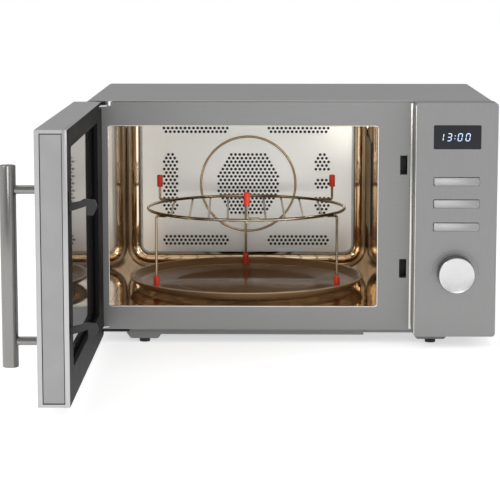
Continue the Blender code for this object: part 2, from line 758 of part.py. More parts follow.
def dial(oven, fascia):
    centre = (KNOB_X, 0, KNOB_Z)
    cut(fascia, cylinder("dial_bore", centre, 4.2, 20, "Y", oven, None, 16))
    spin = new_group("knob_axis", centre, oven)
    profile = (
        (0, KNOB_REACH - 1.0),
        (KNOB_RADIUS - 3.0, KNOB_REACH - 0.5),
        (KNOB_RADIUS - 1.6, KNOB_REACH),
        (KNOB_RADIUS - 0.6, KNOB_REACH - 1.0),
        (KNOB_RADIUS, 3.0),
        (KNOB_RADIUS, 1.0),
        (3.0, 1.0),
        (3.0, -6.0),
        (0, -6.0),
    )
    knob = turned("knob", profile, "Y", centre, spin, "bright", 24)
    knob.rotation_euler.x += math.pi
    smooth(knob)


def interlock(oven):
    """Bracket behind the latch slots with a ledge under each hook, and its two switches."""
    bracket = box("interlock_bracket", (148.2, 149.7), (38, 92), (72, 248), oven, "zinc")
    for number, z in enumerate((UPPER_HOOK_Z, LOWER_HOOK_Z), 1):
        ledge = box(f"ledge_{number}", (134, 149), (38.5, 62), (z - 14.5, z - 9.5), oven)
        join(bracket, ledge)
        box(
            f"door_switch_{number}",
            (137.5, 147.9),
            (66.5, 80),
            (z - 12, z + 12),
            oven,
            "black",
            0.8,
        )


def hinge_bracket(name, low, pin_zs, oven):
    """A steel tongue from the front plate to the hinge axis, with its pin."""
    outline = [(-228, 35.7), (-253, 35.7), (-255.5, HINGE_Y)]
    outline += [polar(5, 180 + 30 * i, (HINGE_X, HINGE_Y)) for i in range(7)]
    outline += [(-238, 28)]
    tongue = plate(name, outline, low, low + BRACKET_THICKNESS, "Z", oven, "zinc")
    middle = (HINGE_X, HINGE_Y, sum(pin_zs) / 2)
    pin = cylinder(f"{name}_pin", middle, 2.5, pin_zs[1] - pin_zs[0], "Z", oven, None, 12)
    return join(tongue, pin)


def door(oven):
    """The whole swinging door, built closed and then opened about its hinge."""
    hinge = new_group("door_hinge", (HINGE_X, HINGE_Y, 0), oven)
    hinge.rotation_euler.z = DOOR_OPEN_ANGLE
    hinge_bracket("hinge_bracket_upper", UPPER_BRACKET_Z, (288, 300), oven)
    hinge_bracket("hinge_bracket_lower", LOWER_BRACKET_Z, (20, 33), oven)
    pockets = [
        box(f"hinge_pocket_{i}", (-260, -226), (9, 40), (z - 1.5, z + 3.5), hinge)
        for i, z in enumerate((UPPER_BRACKET_Z, LOWER_BRACKET_Z))
    ]
    door_skin(hinge, pockets)
    door_core(hinge, pockets)
    door_glazing(hinge)
    door_inner_frame(hinge, pockets)
    handle(hinge)
    latch(hinge)


def door_skin(hinge, pockets):
    """The stainless outer pan, with the window opening and an open free edge."""
    xs, zs = (DOOR_LEFT, DOOR_RIGHT), (DOOR_BOTTOM, DOOR_TOP)
    skin = box("door_skin", xs, (0, DOOR_SKIN_DEPTH), zs, hinge, "steel")
    inner = (xs[0] + 1.5, xs[1] - 1.5), (2, DOOR_DEPTH + 5), (zs[0] + 1.5, zs[1] - 1.5)
    cut(skin, box("skin_hollow", *inner, hinge))
    cut(skin, opening("window_cutter", WINDOW, (-5, 8), hinge, 6))
    edge = (DOOR_RIGHT - 4, DOOR_RIGHT + 4), (5.2, 40), (DOOR_BOTTOM + 3.5, DOOR_TOP - 3.8)
    cut(skin, box("free_edge_cutter", *edge, hinge))
    cut(skin, *pockets)
    box(
        "door_end_cap",
        (DOOR_RIGHT - 2.6, DOOR_RIGHT - 0.6),
        (5.5, DOOR_SKIN_DEPTH - GAP),
        (DOOR_BOTTOM + 4, DOOR_TOP - 4.3),
        hinge,
        "grey",
        0.5,
    )


def door_core(hinge, pockets):
    """The ring inside the pan, which carries the glazing, the hinge pins and the latch."""
    xs = (DOOR_LEFT + 1.8, DOOR_RIGHT - 2.9)
    zs = (DOOR_BOTTOM + 1.8, DOOR_TOP - 1.8)
    core = box("door_core", xs, (2.3, DOOR_SKIN_DEPTH), zs, hinge, "dark")
    cut(core, opening("window_seat_cutter", WINDOW_SEAT, (-5, 40), hinge))
    cut(core, opening("glass_seat_cutter", GLASS_SEAT, (20, 40), hinge))
    channel = box("latch_channel", (136.5, 146), (11, 40), (72, 250), hinge)
    cut(core, channel, *pockets)
    for number, z in enumerate((292.0, 27.0)):
        bore = cylinder(f"pin_bore_{number}", (HINGE_X, HINGE_Y, z), 2.9, 16, "Z", hinge, None, 12)
        cut(core, bore)
    return core


def door_glazing(hinge):
    """Outer window glass, the shielding screen and the recessed inner glass."""
    for name, seat, ys, look in (
        ("door_window", WINDOW_SEAT, (2.3, 5.3), "smoke"),
        ("door_screen", GLASS_SEAT, (20.3, 21.5), "zinc"),
        ("door_inner_glass", GLASS_SEAT, (23.9, 26.9), "smoke"),
    ):
        outline = rounded_rectangle(*grown(seat, -0.5), 3.0)
        plate(name, outline, *ys, "Y", hinge, look)


def door_inner_frame(hinge, pockets):
    """The dark frame on the inner side, around the recessed glass."""
    outline = rounded_rectangle(
        DOOR_LEFT + 0.6, DOOR_RIGHT - 0.6, DOOR_BOTTOM + 0.6, DOOR_TOP - 0.6, 1.5, 2
    )
    ys = (DOOR_SKIN_DEPTH + GAP, DOOR_DEPTH)
    frame = plate("door_inner_frame", outline, *ys, "Y", hinge, "dark")
    cut(frame, opening("recess_cutter", RECESS, (20, 45), hinge, 5))
    for number, z in enumerate((UPPER_HOOK_Z, LOWER_HOOK_Z)):
        slot = (HOOK_X - 3.2, HOOK_X + 3.2), (20, 45), (z - 9, z + 17)
        cut(frame, box(f"hook_slot_{number}", *slot, hinge))
    cut(frame, *pockets)
    return frame


def handle(hinge):
    """The vertical bar on two round posts, near the door's free edge."""
    middle = (HANDLE_X, HANDLE_Y, (HANDLE_BOTTOM + HANDLE_TOP) / 2)
    length = HANDLE_TOP - HANDLE_BOTTOM
    bar = cylinder("handle", middle, HANDLE_RADIUS, length, "Z", hinge, "bright", 32)
    bevel = bar.modifiers.new("rounded_ends", "BEVEL")
    bevel.width = 1.0 * MM
    bevel.segments = 2
    for number, z in enumerate(POST_HEIGHTS, 1):
        centre = (HANDLE_X, (HANDLE_Y - GAP) / 2, z)
        reach = -HANDLE_Y - GAP
        post = cylinder(f"post_{number}", centre, POST_RADIUS, reach, "Y", hinge, None, 20)
        join(bar, post)


def hook_outline(z):
    """The side view of one hook as (y, z) points: a rising arm and a barbed head."""
    start, tip = 14.0, DOOR_DEPTH + HOOK_REACH
    neck, back = tip - 18.0, tip - 11.0
    return [
        (start, z - 3.5),
        (DOOR_DEPTH + 2, z - 3.5),
        (neck, z - 0.5),
        (back, z + 2.0),
        (back, z - 8.0),
        (tip - 4.5, z - 8.0),
        (tip, z + 1.0),
        (tip - 2.0, z + 8.0),
        (back - 3.0, z + 9.5),
        (neck, z + 7.0),
        (DOOR_DEPTH + 2, z + 5.0),
        (start, z + 5.0),
    ]


def latch(hinge):
    """The sliding bar inside the free edge, with its two hooks."""
    slide = new_group("latch_slide", (HOOK_X, 20, 158), hinge)
    sides = (HOOK_X - HOOK_THICKNESS / 2, HOOK_X + HOOK_THICKNESS / 2)
    bar = box("latch_hooks", sides, (13, 19), (78, 236), slide, "dark")
    for number, z in enumerate((UPPER_HOOK_Z, LOWER_HOOK_Z)):
        hook = plate(f"hook_{number}", hook_outline(z), sides[0] - 0.1, sides[1] + 0.1, "X", slide)
        join(bar, hook)


def build():
    oven = new_group("microwave_oven")
    oven.location = SHIFT
    outer_cover(oven)
    base_plate(oven)
    front_plate(oven)
    cavity(oven)
    rear_panel(oven)
    convection_unit(oven)
    microwave_source(oven)
    cooling_fan(oven)
    turntable(oven)
    control_panel(oven)
    interlock(oven)
    door(oven)


build()
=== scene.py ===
import logging
import math
from dataclasses import dataclass, field
from enum import Enum
from typing import Iterable, Optional, Sequence, Union

import bmesh
import bpy
from mathutils import Matrix, Vector


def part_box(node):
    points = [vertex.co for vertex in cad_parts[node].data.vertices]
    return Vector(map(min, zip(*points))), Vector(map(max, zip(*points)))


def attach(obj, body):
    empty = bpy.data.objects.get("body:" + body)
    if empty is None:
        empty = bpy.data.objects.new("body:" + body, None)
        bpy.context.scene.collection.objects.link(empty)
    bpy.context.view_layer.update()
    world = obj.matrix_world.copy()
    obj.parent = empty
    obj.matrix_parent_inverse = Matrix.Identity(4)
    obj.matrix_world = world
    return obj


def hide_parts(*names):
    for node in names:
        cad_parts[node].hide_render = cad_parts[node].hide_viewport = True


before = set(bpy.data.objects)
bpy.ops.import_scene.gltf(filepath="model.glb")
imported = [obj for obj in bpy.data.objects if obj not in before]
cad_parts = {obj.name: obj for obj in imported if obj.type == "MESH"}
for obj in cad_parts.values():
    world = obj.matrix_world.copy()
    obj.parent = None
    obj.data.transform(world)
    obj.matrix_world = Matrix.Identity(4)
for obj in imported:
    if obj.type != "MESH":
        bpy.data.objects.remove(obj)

LOG = logging.getLogger("microwave_oven")
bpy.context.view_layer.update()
MM = 0.001
SHARP_EDGE = math.radians(40)
SHARP_SHADING = math.radians(32)
WHITE = (1.0, 1.0, 1.0)

Number = Union[int, float]
Point = tuple[float, float, float]


class Axis(Enum):
    """The three directions of the frame."""

    X = 0
    Y = 1
    Z = 2

    def turn(self) -> Matrix:
        """The rotation that takes +Z onto this axis.

        Returns:
            The rotation.
        """
        if self is Axis.X:
            return Matrix.Rotation(math.pi / 2, 4, "Y")
        if self is Axis.Y:
            return Matrix.Rotation(-math.pi / 2, 4, "X")
        return Matrix.Identity(4)


# ---------------------------------------------------------------- shader maths


class Signal:
    """A shader value that takes part in ordinary arithmetic."""

    def __init__(self, graph: "Graph", socket: bpy.types.NodeSocket) -> None:
        """Wraps an output socket of a graph.

        Args:
            graph: the graph that the socket belongs to.
            socket: the output socket.
        """
        self.graph = graph
        self.socket = socket

    def _math(self, operation: str, first: "Value", second: "Value" = 0.0) -> "Signal":
        """Adds one Math node.

        Args:
            operation: the node's operation.
            first: its first input.
            second: its second input.

        Returns:
            The node's result.
        """
        inputs = {0: first, 1: second}
        return self.graph.node("ShaderNodeMath", {"operation": operation}, inputs)

    def __add__(self, other: "Value") -> "Signal":
        """self + other."""
        return self._math("ADD", self, other)

    def __radd__(self, other: "Value") -> "Signal":
        """other + self."""
        return self._math("ADD", other, self)

    def __sub__(self, other: "Value") -> "Signal":
        """self - other."""
        return self._math("SUBTRACT", self, other)

    def __rsub__(self, other: "Value") -> "Signal":
        """other - self."""
        return self._math("SUBTRACT", other, self)

    def __mul__(self, other: "Value") -> "Signal":
        """self * other."""
        return self._math("MULTIPLY", self, other)

    def __rmul__(self, other: "Value") -> "Signal":
        """other * self."""
        return self._math("MULTIPLY", other, self)

    def __pow__(self, other: "Value") -> "Signal":
        """self ** other."""
        return self._math("POWER", self, other)

    def sine(self) -> "Signal":
        """The signal's sine, in radians."""
        return self._math("SINE", self)

    def limited(self) -> "Signal":
        """The signal held between 0 and 1."""
        return self._math("MINIMUM", self._math("MAXIMUM", self, 0.0), 1.0)


Value = Union[Signal, Number]
Colour = tuple[float, float, float]


class Graph:
    """A node tree and the one method that adds nodes to it."""

    def __init__(self, tree: bpy.types.NodeTree) -> None:
        """Keeps the tree."""
        self.tree = tree

    def node(
        self,
        kind: str,
        settings: Optional[dict] = None,
        inputs: Optional[dict] = None,
        output: Union[int, str] = 0,
    ) -> Signal:
        """Adds a node.

        Args:
            kind: the node's type name.
            settings: its properties, set first.
            inputs: values or signals by socket name or number.
            output: the output socket that is returned.

        Returns:
            The chosen output.
        """
        made = self.tree.nodes.new(kind)
        for key, value in (settings or {}).items():
            setattr(made, key, value)
        for key, value in (inputs or {}).items():
            self.feed(made.inputs[key], value)
        return Signal(self, made.outputs[output])

    def feed(self, socket: bpy.types.NodeSocket, value: object) -> None:
        """Links a signal to a socket, or sets the socket's own value.

        Args:
            socket: the input socket.
            value: a signal, a number, a colour or a vector.
        """
        if isinstance(value, Signal):
            self.tree.links.new(value.socket, socket)
        elif isinstance(value, tuple) and len(value) == 3 and socket.type == "RGBA":
            socket.default_value = (*value, 1.0)
        else:
            socket.default_value = value

    def split(self, vector: Signal) -> tuple[Signal, Signal, Signal]:
        """Takes a vector apart.

        Args:
            vector: the vector.

        Returns:
            Its three parts.
        """
        first = self.node("ShaderNodeSeparateXYZ", None, {0: vector})
        outputs = first.socket.node.outputs
        return tuple(Signal(self, socket) for socket in outputs)


class Surface(Graph):
    """The node tree of one material, with its Principled shader."""

    def __init__(self, name: str) -> None:
        """Starts a material that holds one Principled shader.

        Args:
            name: the material's name.
        """
        self.material = bpy.data.materials.new(name)
        self.material.use_nodes = True
        super().__init__(self.material.node_tree)
        self.shader = self.tree.nodes["Principled BSDF"]

    def set(self, **values: object) -> None:
        """Sets sockets of the Principled shader; an underscore stands for a space."""
        for key, value in values.items():
            self.feed(self.shader.inputs[key.replace("_", " ")], value)

    def place(self, scale: Point = (1, 1, 1), shift: Point = (0, 0, 0)) -> Signal:
        """Object coordinates after a Mapping node.

        Args:
            scale: how dense the pattern is along each axis.
            shift: what is added to the coordinates.

        Returns:
            The mapped coordinates.
        """
        here = self.node("ShaderNodeTexCoord", output="Object")
        inputs = {"Vector": here, "Scale": scale, "Location": shift}
        return self.node("ShaderNodeMapping", None, inputs)

    def noise(
        self, scale: float, stretch: Point = (1, 1, 1), detail: float = 3.0, rough: float = 0.5
    ) -> Signal:
        """A noise over stretched Object coordinates.

        Args:
            scale: how dense it is.
            stretch: how dense the coordinates are along each axis.
            detail: how many finer layers it has.
            rough: how strong they are.

        Returns:
            The noise.
        """
        inputs = {
            "Vector": self.place(stretch),
            "Scale": scale,
            "Detail": detail,
            "Roughness": rough,
        }
        return self.node("ShaderNodeTexNoise", None, inputs)

    def mix(self, factor: Value, first: object, second: object) -> Signal:
        """A colour between two colours.

        Args:
            factor: 0 gives the first and 1 the second.
            first: a colour or a signal.
            second: a colour or a signal.

        Returns:
            The mixed colour.
        """
        inputs = {0: factor, 6: first, 7: second}
        return self.node("ShaderNodeMix", {"data_type": "RGBA"}, inputs, 2)

    def bump(self, height: Signal, strength: float, depth: float) -> None:
        """Feeds the shader's normal from a height signal."""
        inputs = {"Height": height, "Strength": strength, "Distance": depth}
        self.set(Normal=self.node("ShaderNodeBump", None, inputs))


# -------------------------------------------------------------------- finishes


def shade(colour: Colour, by: float) -> Colour:
    """A colour made lighter or darker by a factor."""
    return tuple(min(1.0, part * by) for part in colour)


@dataclass(frozen=True)
class BrushedMetal:
    """Metal with a fine grain along one axis.

    Attributes:
        name: the material's name.
        colour: the metal's colour.
        roughness: how dull it is.
        grain: the axis that the brush marks follow.
        contrast: how much the marks darken it.
    """

    name: str
    colour: Colour
    roughness: float = 0.34
    grain: Axis = Axis.X
    contrast: float = 0.16

    def build(self) -> bpy.types.Material:
        """Makes the material.

        Returns:
            The material.
        """
        graph = Surface(self.name)
        stretch = tuple(0.02 if axis is self.grain else 1.0 for axis in Axis)
        marks = graph.noise(2600.0, stretch, 2.0)
        cloud = graph.noise(7.0, (1, 1, 1), 2.0)
        dark = shade(self.colour, 1 - self.contrast)
        light = shade(self.colour, 1 + self.contrast * 0.6)
        graph.set(Base_Color=graph.mix((marks * 0.75 + cloud * 0.25).limited(), dark, light))
        graph.set(Metallic=1.0, Roughness=self.roughness - 0.05 + marks * 0.08 + cloud * 0.04)
        graph.bump(marks, 0.12, 0.0001)
        return graph.material


@dataclass(frozen=True)
class CavitySteel:
    """Polished cavity steel with a warm tint and faint smears."""

    name: str
    colour: Colour = (0.84, 0.72, 0.57)
    tint: Colour = (0.58, 0.38, 0.20)
    roughness: float = 0.035

    def build(self) -> bpy.types.Material:
        """Makes the material.

        Returns:
            The material.
        """
        graph = Surface(self.name)
        heat = graph.noise(9.0, (1.0, 1.0, 0.7), 2.0, 0.4)
        smear = graph.noise(60.0, (1.0, 1.0, 0.2), 3.0)
        blend = ((heat - 0.42) * 4.0).limited()
        graph.set(Base_Color=graph.mix(blend * 0.75, self.colour, self.tint))
        graph.set(Metallic=1.0, Roughness=self.roughness + smear * 0.05)
        graph.bump(graph.noise(16.0, (1.0, 1.0, 0.6), 1.0), 0.12, 0.002)
        return graph.material


@dataclass(frozen=True)
class SheetMetal:
    """Plain zinc-coated sheet with a soft spangle."""

    name: str
    colour: Colour
    roughness: float = 0.42

    def build(self) -> bpy.types.Material:
        """Makes the material.

        Returns:
            The material.
        """
        graph = Surface(self.name)
        cells = {"Vector": graph.place(), "Scale": 90.0}
        spangle = graph.node("ShaderNodeTexVoronoi", None, cells)
        cloud = graph.noise(25.0)
        light = shade(self.colour, 1.15)
        dark = shade(self.colour, 0.86)
        graph.set(Base_Color=graph.mix((spangle * 0.8 + cloud * 0.4).limited(), light, dark))
        graph.set(Metallic=1.0, Roughness=self.roughness - 0.06 + cloud * 0.14)
        return graph.material


@dataclass(frozen=True)
class Moulded:
    """Moulded plastic, rubber, enamel or ceramic with a fine texture.

    Attributes:
        name: the material's name.
        colour: its colour.
        roughness: how dull it is.
        texture: how deep its surface texture is, from 0 to 1.
        gloss: how strongly it reflects, 0.5 for common plastic.
    """

    name: str
    colour: Colour
    roughness: float = 0.45
    texture: float = 0.15
    gloss: float = 0.5

    def build(self) -> bpy.types.Material:
        """Makes the material.

        Returns:
            The material.
        """
        graph = Surface(self.name)
        fine = graph.noise(1800.0, (1, 1, 1), 2.0)
        cloud = graph.noise(30.0)
        dark = shade(self.colour, 0.88)
        light = shade(self.colour, 1.1)
        graph.set(Base_Color=graph.mix(cloud, dark, light))
        graph.set(Roughness=self.roughness - 0.05 + cloud * 0.1, Specular_IOR_Level=self.gloss)
        graph.bump(fine, self.texture, 0.0002)
        return graph.material


@dataclass(frozen=True)
class Glazing:
    """Smoked or tinted glass.

    Attributes:
        name: the material's name.
        colour: the glass's own colour.
        clear: how much light passes, from 0 to 1.
        mirror: how metallic its coating looks, from 0 to 1.
        index: its refractive index.
        haze: its roughness.
    """

    name: str
    colour: Colour
    clear: float = 0.0
    mirror: float = 0.0
    index: float = 1.5
    haze: float = 0.02

    def build(self) -> bpy.types.Material:
        """Makes the material.

        Returns:
            The material.
        """
        graph = Surface(self.name)
        smear = graph.noise(40.0)
        graph.set(Base_Color=self.colour, Metallic=self.mirror, IOR=self.index)
        graph.set(Transmission_Weight=self.clear, Roughness=self.haze + smear * 0.03)
        return graph.material


@dataclass(frozen=True)
class SpunMetal:
    """Metal turned on a lathe, with fine rings round an axis along Y.

    Attributes:
        name: the material's name.
        colour: the metal's colour.
        centre: a point on the axis.
    """

    name: str
    colour: Colour
    centre: Vector

    def build(self) -> bpy.types.Material:
        """Makes the material.

        Returns:
            The material.
        """
        graph = Surface(self.name)
        x, _, z = graph.split(graph.place(shift=tuple(-self.centre)))
        radius = (x * x + z * z) ** 0.5
        rings = (radius * 9000.0).sine() * 0.5 + 0.5
        cloud = graph.noise(300.0)
        dark = shade(self.colour, 0.86)
        graph.set(Base_Color=graph.mix((rings * 0.6 + cloud * 0.4).limited(), dark, self.colour))
        graph.set(Metallic=1.0, Roughness=0.27 + rings * 0.08)
        graph.bump(rings, 0.15, 0.0001)
        return graph.material


@dataclass(frozen=True)
class Glow:
    """A lit display segment."""

    name: str
    colour: Colour
    strength: float = 2.0

    def build(self) -> bpy.types.Material:
        """Makes the material.

        Returns:
            The material.
        """
        graph = Surface(self.name)
        flicker = graph.noise(900.0)
        warm = shade(self.colour, 0.85)
        graph.set(Base_Color=self.colour, Emission_Color=graph.mix(flicker, warm, self.colour))
        graph.set(Emission_Strength=self.strength, Roughness=0.4)
        return graph.material


class Palette:
    """Every finish of the oven, built once and kept by name."""

    def __init__(self) -> None:
        """Builds the finishes."""
        knob_low, knob_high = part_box("knob")
        self.cover = BrushedMetal("cover_steel", (0.43, 0.43, 0.428), 0.36, Axis.Y).build()
        self.front = BrushedMetal("front_steel", (0.275, 0.275, 0.273), 0.38, Axis.X).build()
        self.panel = BrushedMetal("panel_steel", (0.28, 0.28, 0.279), 0.34, Axis.Z).build()
        self.skin = BrushedMetal("door_steel", (0.50, 0.50, 0.50), 0.32, Axis.Z).build()
        self.push = BrushedMetal("push_bar_steel", (0.36, 0.36, 0.36), 0.34, Axis.X).build()
        self.bar = BrushedMetal("handle_steel", (0.27, 0.265, 0.255), 0.2, Axis.Z, 0.25).build()
        self.cavity = CavitySteel("cavity_steel").build()
        self.back = BrushedMetal("back_wall_steel", (0.90, 0.905, 0.88), 0.38, Axis.Z, 0.04).build()
        self.wire = BrushedMetal("rack_chrome", (0.42, 0.35, 0.26), 0.2, Axis.Z, 0.05).build()
        # Bronze tint on the back-wall bead: a painted reflection of the warm side walls, on steel that is
        # the back wall's own.
        self.bead = BrushedMetal("bead_steel_painted_reflection", (0.55, 0.42, 0.27), 0.18, Axis.Z, 0.1).build()
        self.rim = BrushedMetal("rim_steel", (0.75, 0.73, 0.68), 0.2, Axis.X, 0.05).build()
        self.knob = SpunMetal("spun_aluminium", (0.68, 0.68, 0.68), (knob_low + knob_high) / 2).build()
        self.zinc = SheetMetal("zinc_sheet", (0.50, 0.51, 0.52)).build()
        # Dark metal for the dial's side: painted shade and painted dark reflection.
        self.dial_side_shade = BrushedMetal("dial_side_painted_shade", (0.13, 0.13, 0.13), 0.4, Axis.Y).build()
        self.end_cap = Moulded("end_cap_plastic", (0.30, 0.30, 0.30), 0.55, 0.15, 0.3).build()
        self.enamel = Moulded("dark_enamel", (0.010, 0.010, 0.0105), 0.5, 0.05, 0.04).build()
        self.black = Moulded("black_plastic", (0.010, 0.010, 0.0105), 0.4).build()
        self.rubber = Moulded("black_rubber", (0.012, 0.012, 0.012), 0.7, 0.4).build()
        self.grey = Moulded("grey_plastic", (0.35, 0.35, 0.35)).build()
        self.ceramic = Moulded("white_ceramic", (0.78, 0.77, 0.73), 0.35).build()
        self.mica = Moulded("mica_sheet", (0.62, 0.50, 0.33), 0.6, 0.3).build()
        self.board = Moulded("circuit_board", (0.02, 0.16, 0.07), 0.4).build()
        self.silicone = Moulded("red_silicone", (0.80, 0.045, 0.015), 0.42, 0.1).build()
        self.mark = Moulded("printed_mark", (0.09, 0.09, 0.09), 0.6).build()
        # Amber tint of the tray glass: a painted reflection of the warm cavity floor; the glass itself is
        # clear.
        self.tray = Glazing("tray_glass_painted_reflection", (0.42, 0.27, 0.14), 0.6, index=1.08, haze=0.13).build()
        # Light amber finish of the tray's edge rings: painted highlights.
        self.tray_edge_glint = Moulded("tray_edge_painted_highlight", (0.46, 0.33, 0.19), 0.12, 0.02, 0.9).build()
        self.mirror = Glazing("mirror_glass", (0.25, 0.243, 0.23), mirror=0.9).build()
        self.smoke = Glazing("smoked_glass", (0.02, 0.02, 0.022)).build()
        self.display = Glazing("display_glass", (0.018, 0.019, 0.024), index=1.3).build()
        self.base = BrushedMetal("base_steel", (0.20, 0.20, 0.20), 0.42, Axis.X).build()
        self.digit = Glow("display_segment", (0.55, 0.68, 0.95), 0.85).build()


# --------------------------------------------------------------------- shaping


class Shape:
    """A mesh in the making, with the few operators that the pieces need."""

    def __init__(self, bm: Optional[bmesh.types.BMesh] = None) -> None:
        """Starts from a mesh, or from nothing."""
        self.bm = bmesh.new() if bm is None else bm

    def box(self, low: Sequence[float], high: Sequence[float], round_by: float = 0.0) -> "Shape":
        """Adds a box between two corners.

        Args:
            low: its lowest corner.
            high: its highest corner.
            round_by: the radius of its edges.

        Returns:
            The shape itself.
        """
        size = Vector(high) - Vector(low)
        middle = (Vector(high) + Vector(low)) / 2
        place = Matrix.Translation(middle) @ Matrix.Diagonal((*size, 1.0))
        made = bmesh.ops.create_cube(self.bm, size=1.0, matrix=place)["verts"]
        if round_by:
            edges = {edge for vert in made for edge in vert.link_edges}
            self.soften(edges, round_by)
        return self

    def soften(self, edges: Iterable[bmesh.types.BMEdge], by: float, steps: int = 3) -> "Shape":
        """Bevels edges round.

        Args:
            edges: the edges.
            by: how far the bevel reaches.
            steps: its segments.

        Returns:
            The shape itself.
        """
        bmesh.ops.bevel(
            self.bm,
            geom=list(edges),
            offset=by,
            offset_type="OFFSET",
            segments=steps,
            profile=0.5,
            affect="EDGES",
            material=-1,
            clamp_overlap=True,
        )
        return self

    def rod(self, start: Point, end: Point, radius: float, sides: int = 16) -> "Shape":
        """Adds a round rod between two points.

        Args:
            start: its first end.
            end: its other end.
            radius: its radius.
            sides: the faces round it.

        Returns:
            The shape itself.
        """
        along = Vector(end) - Vector(start)
        turn = along.to_track_quat("Z", "Y").to_matrix().to_4x4()
        place = Matrix.Translation((Vector(start) + Vector(end)) / 2) @ turn
        bmesh.ops.create_cone(
            self.bm,
            cap_ends=True,
            segments=sides,
            radius1=radius,
            radius2=radius,
            depth=along.length,
            matrix=place,
        )
        return self

    def lathe(
        self, profile: Sequence[tuple[float, float]], centre: Point, axis: Axis, steps: int = 64
    ) -> "Shape":
        """Spins a profile round an axis.

        Args:
            profile: (radius, height) points; it closes on itself when it starts off the axis.
            centre: where height 0 lies on the axis.
            axis: the direction of the axis.
            steps: the segments of the full turn.

        Returns:
            The shape itself.
        """
        verts = [self.bm.verts.new((radius, 0.0, height)) for radius, height in profile]
        edges = [self.bm.edges.new(pair) for pair in zip(verts, verts[1:])]
        if profile[0][0] > 1e-6:
            edges.append(self.bm.edges.new((verts[-1], verts[0])))
        before = set(self.bm.verts) - set(verts)
        bmesh.ops.spin(
            self.bm,
            geom=verts + edges,
            cent=(0, 0, 0),
            axis=(0, 0, 1),
            angle=math.tau,
            steps=steps,
            use_merge=True,
            use_duplicate=False,
        )
        made = [vert for vert in self.bm.verts if vert not in before]
        bmesh.ops.remove_doubles(self.bm, verts=made, dist=1e-6)
        made = [vert for vert in self.bm.verts if vert not in before]
        place = Matrix.Translation(Vector(centre)) @ axis.turn()
        bmesh.ops.transform(self.bm, matrix=place, verts=made)
        faces = list({face for vert in made for face in vert.link_faces})
        bmesh.ops.recalc_face_normals(self.bm, faces=faces)
        return self

    def ring(self, centre: Point, radius: float, wire: float, axis: Axis, steps: int = 96) -> "Shape":
        """Adds a ring of round wire.

        Args:
            centre: the ring's middle.
            radius: its radius.
            wire: the wire's radius.
            axis: the direction that it faces.
            steps: its segments.

        Returns:
            The shape itself.
        """
        section = [
            (radius + wire * math.cos(turn), wire * math.sin(turn))
            for turn in (math.tau * step / 12 for step in range(12))
        ]
        return self.lathe(section, centre, axis, steps)

    def loop_wire(self, points: Sequence[Point], wire: float, closed: bool = False) -> "Shape":
        """Adds rods from point to point with a ball at each bend.

        Args:
            points: the wire's corner points.
            wire: its radius.
            closed: whether the last point joins the first.

        Returns:
            The shape itself.
        """
        ends = list(points[1:]) + ([points[0]] if closed else [])
        for start, end in zip(points, ends):
            self.rod(start, end, wire, 10)
        for point in points:
            place = Matrix.Translation(Vector(point))
            bmesh.ops.create_icosphere(self.bm, subdivisions=2, radius=wire, matrix=place)
        return self

    def turned(self, matrix: Matrix) -> "Shape":
        """Moves the whole shape by a matrix."""
        bmesh.ops.transform(self.bm, matrix=matrix, verts=self.bm.verts)
        return self

    def done(
        self,
        name: str,
        finish: bpy.types.Material,
        body: str,
        slot: str,
        stands_for: Sequence[str] = (),
        thickness: float = 0.0,
    ) -> None:
        """Makes the shape a piece of the oven.

        Args:
            name: the piece's name.
            finish: its material.
            body: the body that it rides on.
            slot: the record's material slot of its finish; not used.
            stands_for: the CAD nodes that it replaces.
            thickness: the wall that an open sheet is given.
        """
        mesh = bpy.data.meshes.new(name)
        self.bm.to_mesh(mesh)
        self.bm.free()
        mesh.materials.append(finish)
        mesh.shade_smooth()
        mesh.set_sharp_from_angle(angle=SHARP_SHADING)
        piece = bpy.data.objects.new(name, mesh)
        bpy.context.scene.collection.objects.link(piece)
        if thickness:
            wall = piece.modifiers.new("wall", "SOLIDIFY")
            wall.thickness = abs(thickness)
            wall.offset = math.copysign(1.0, thickness)
        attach(piece, body)
        if stands_for:
            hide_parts(*stands_for)
        LOG.info("%s: %d faces on %s", name, len(mesh.polygons), body)


def flat_plate(
    name: str,
    outlines: Sequence[Sequence[tuple[float, float]]],
    at: float,
    depth: float,
) -> bmesh.types.BMesh:
    """A plate in the XZ plane whose inner outlines are holes.

    Args:
        name: a name for the working curve.
        outlines: (x, z) loops; the first is the edge and the others are holes.
        at: the plate's middle along Y.
        depth: its thickness.

    Returns:
        The plate's mesh, welded.
    """
    curve = bpy.data.curves.new(name, "CURVE")
    curve.dimensions = "2D"
    curve.fill_mode = "BOTH"
    curve.extrude = depth / 2
    for outline in outlines:
        spline = curve.splines.new("POLY")
        spline.points.add(len(outline) - 1)
        for point, (x, z) in zip(spline.points, outline):
            point.co = (x, z, 0.0, 1.0)
        spline.use_cyclic_u = True
    source = bpy.data.objects.new(name, curve)
    bpy.context.scene.collection.objects.link(source)
    graph = bpy.context.evaluated_depsgraph_get()
    mesh = bpy.data.meshes.new_from_object(source.evaluated_get(graph))
    bpy.data.objects.remove(source)
    bm = bmesh.new()
    bm.from_mesh(mesh)
    bpy.data.meshes.remove(mesh)
    bmesh.ops.remove_doubles(bm, verts=bm.verts, dist=1e-7)
    upright = Matrix(((1, 0, 0, 0), (0, 0, 1, at), (0, 1, 0, 0), (0, 0, 0, 1)))
    bmesh.ops.transform(bm, matrix=upright, verts=bm.verts)
    bmesh.ops.recalc_face_normals(bm, faces=bm.faces)
    return bm


def circle(x: float, z: float, radius: float, sides: int) -> list[tuple[float, float]]:
    """The points of a circle in the XZ plane."""
    steps = (math.tau * step / sides for step in range(sides))
    return [(x + radius * math.cos(turn), z + radius * math.sin(turn)) for turn in steps]


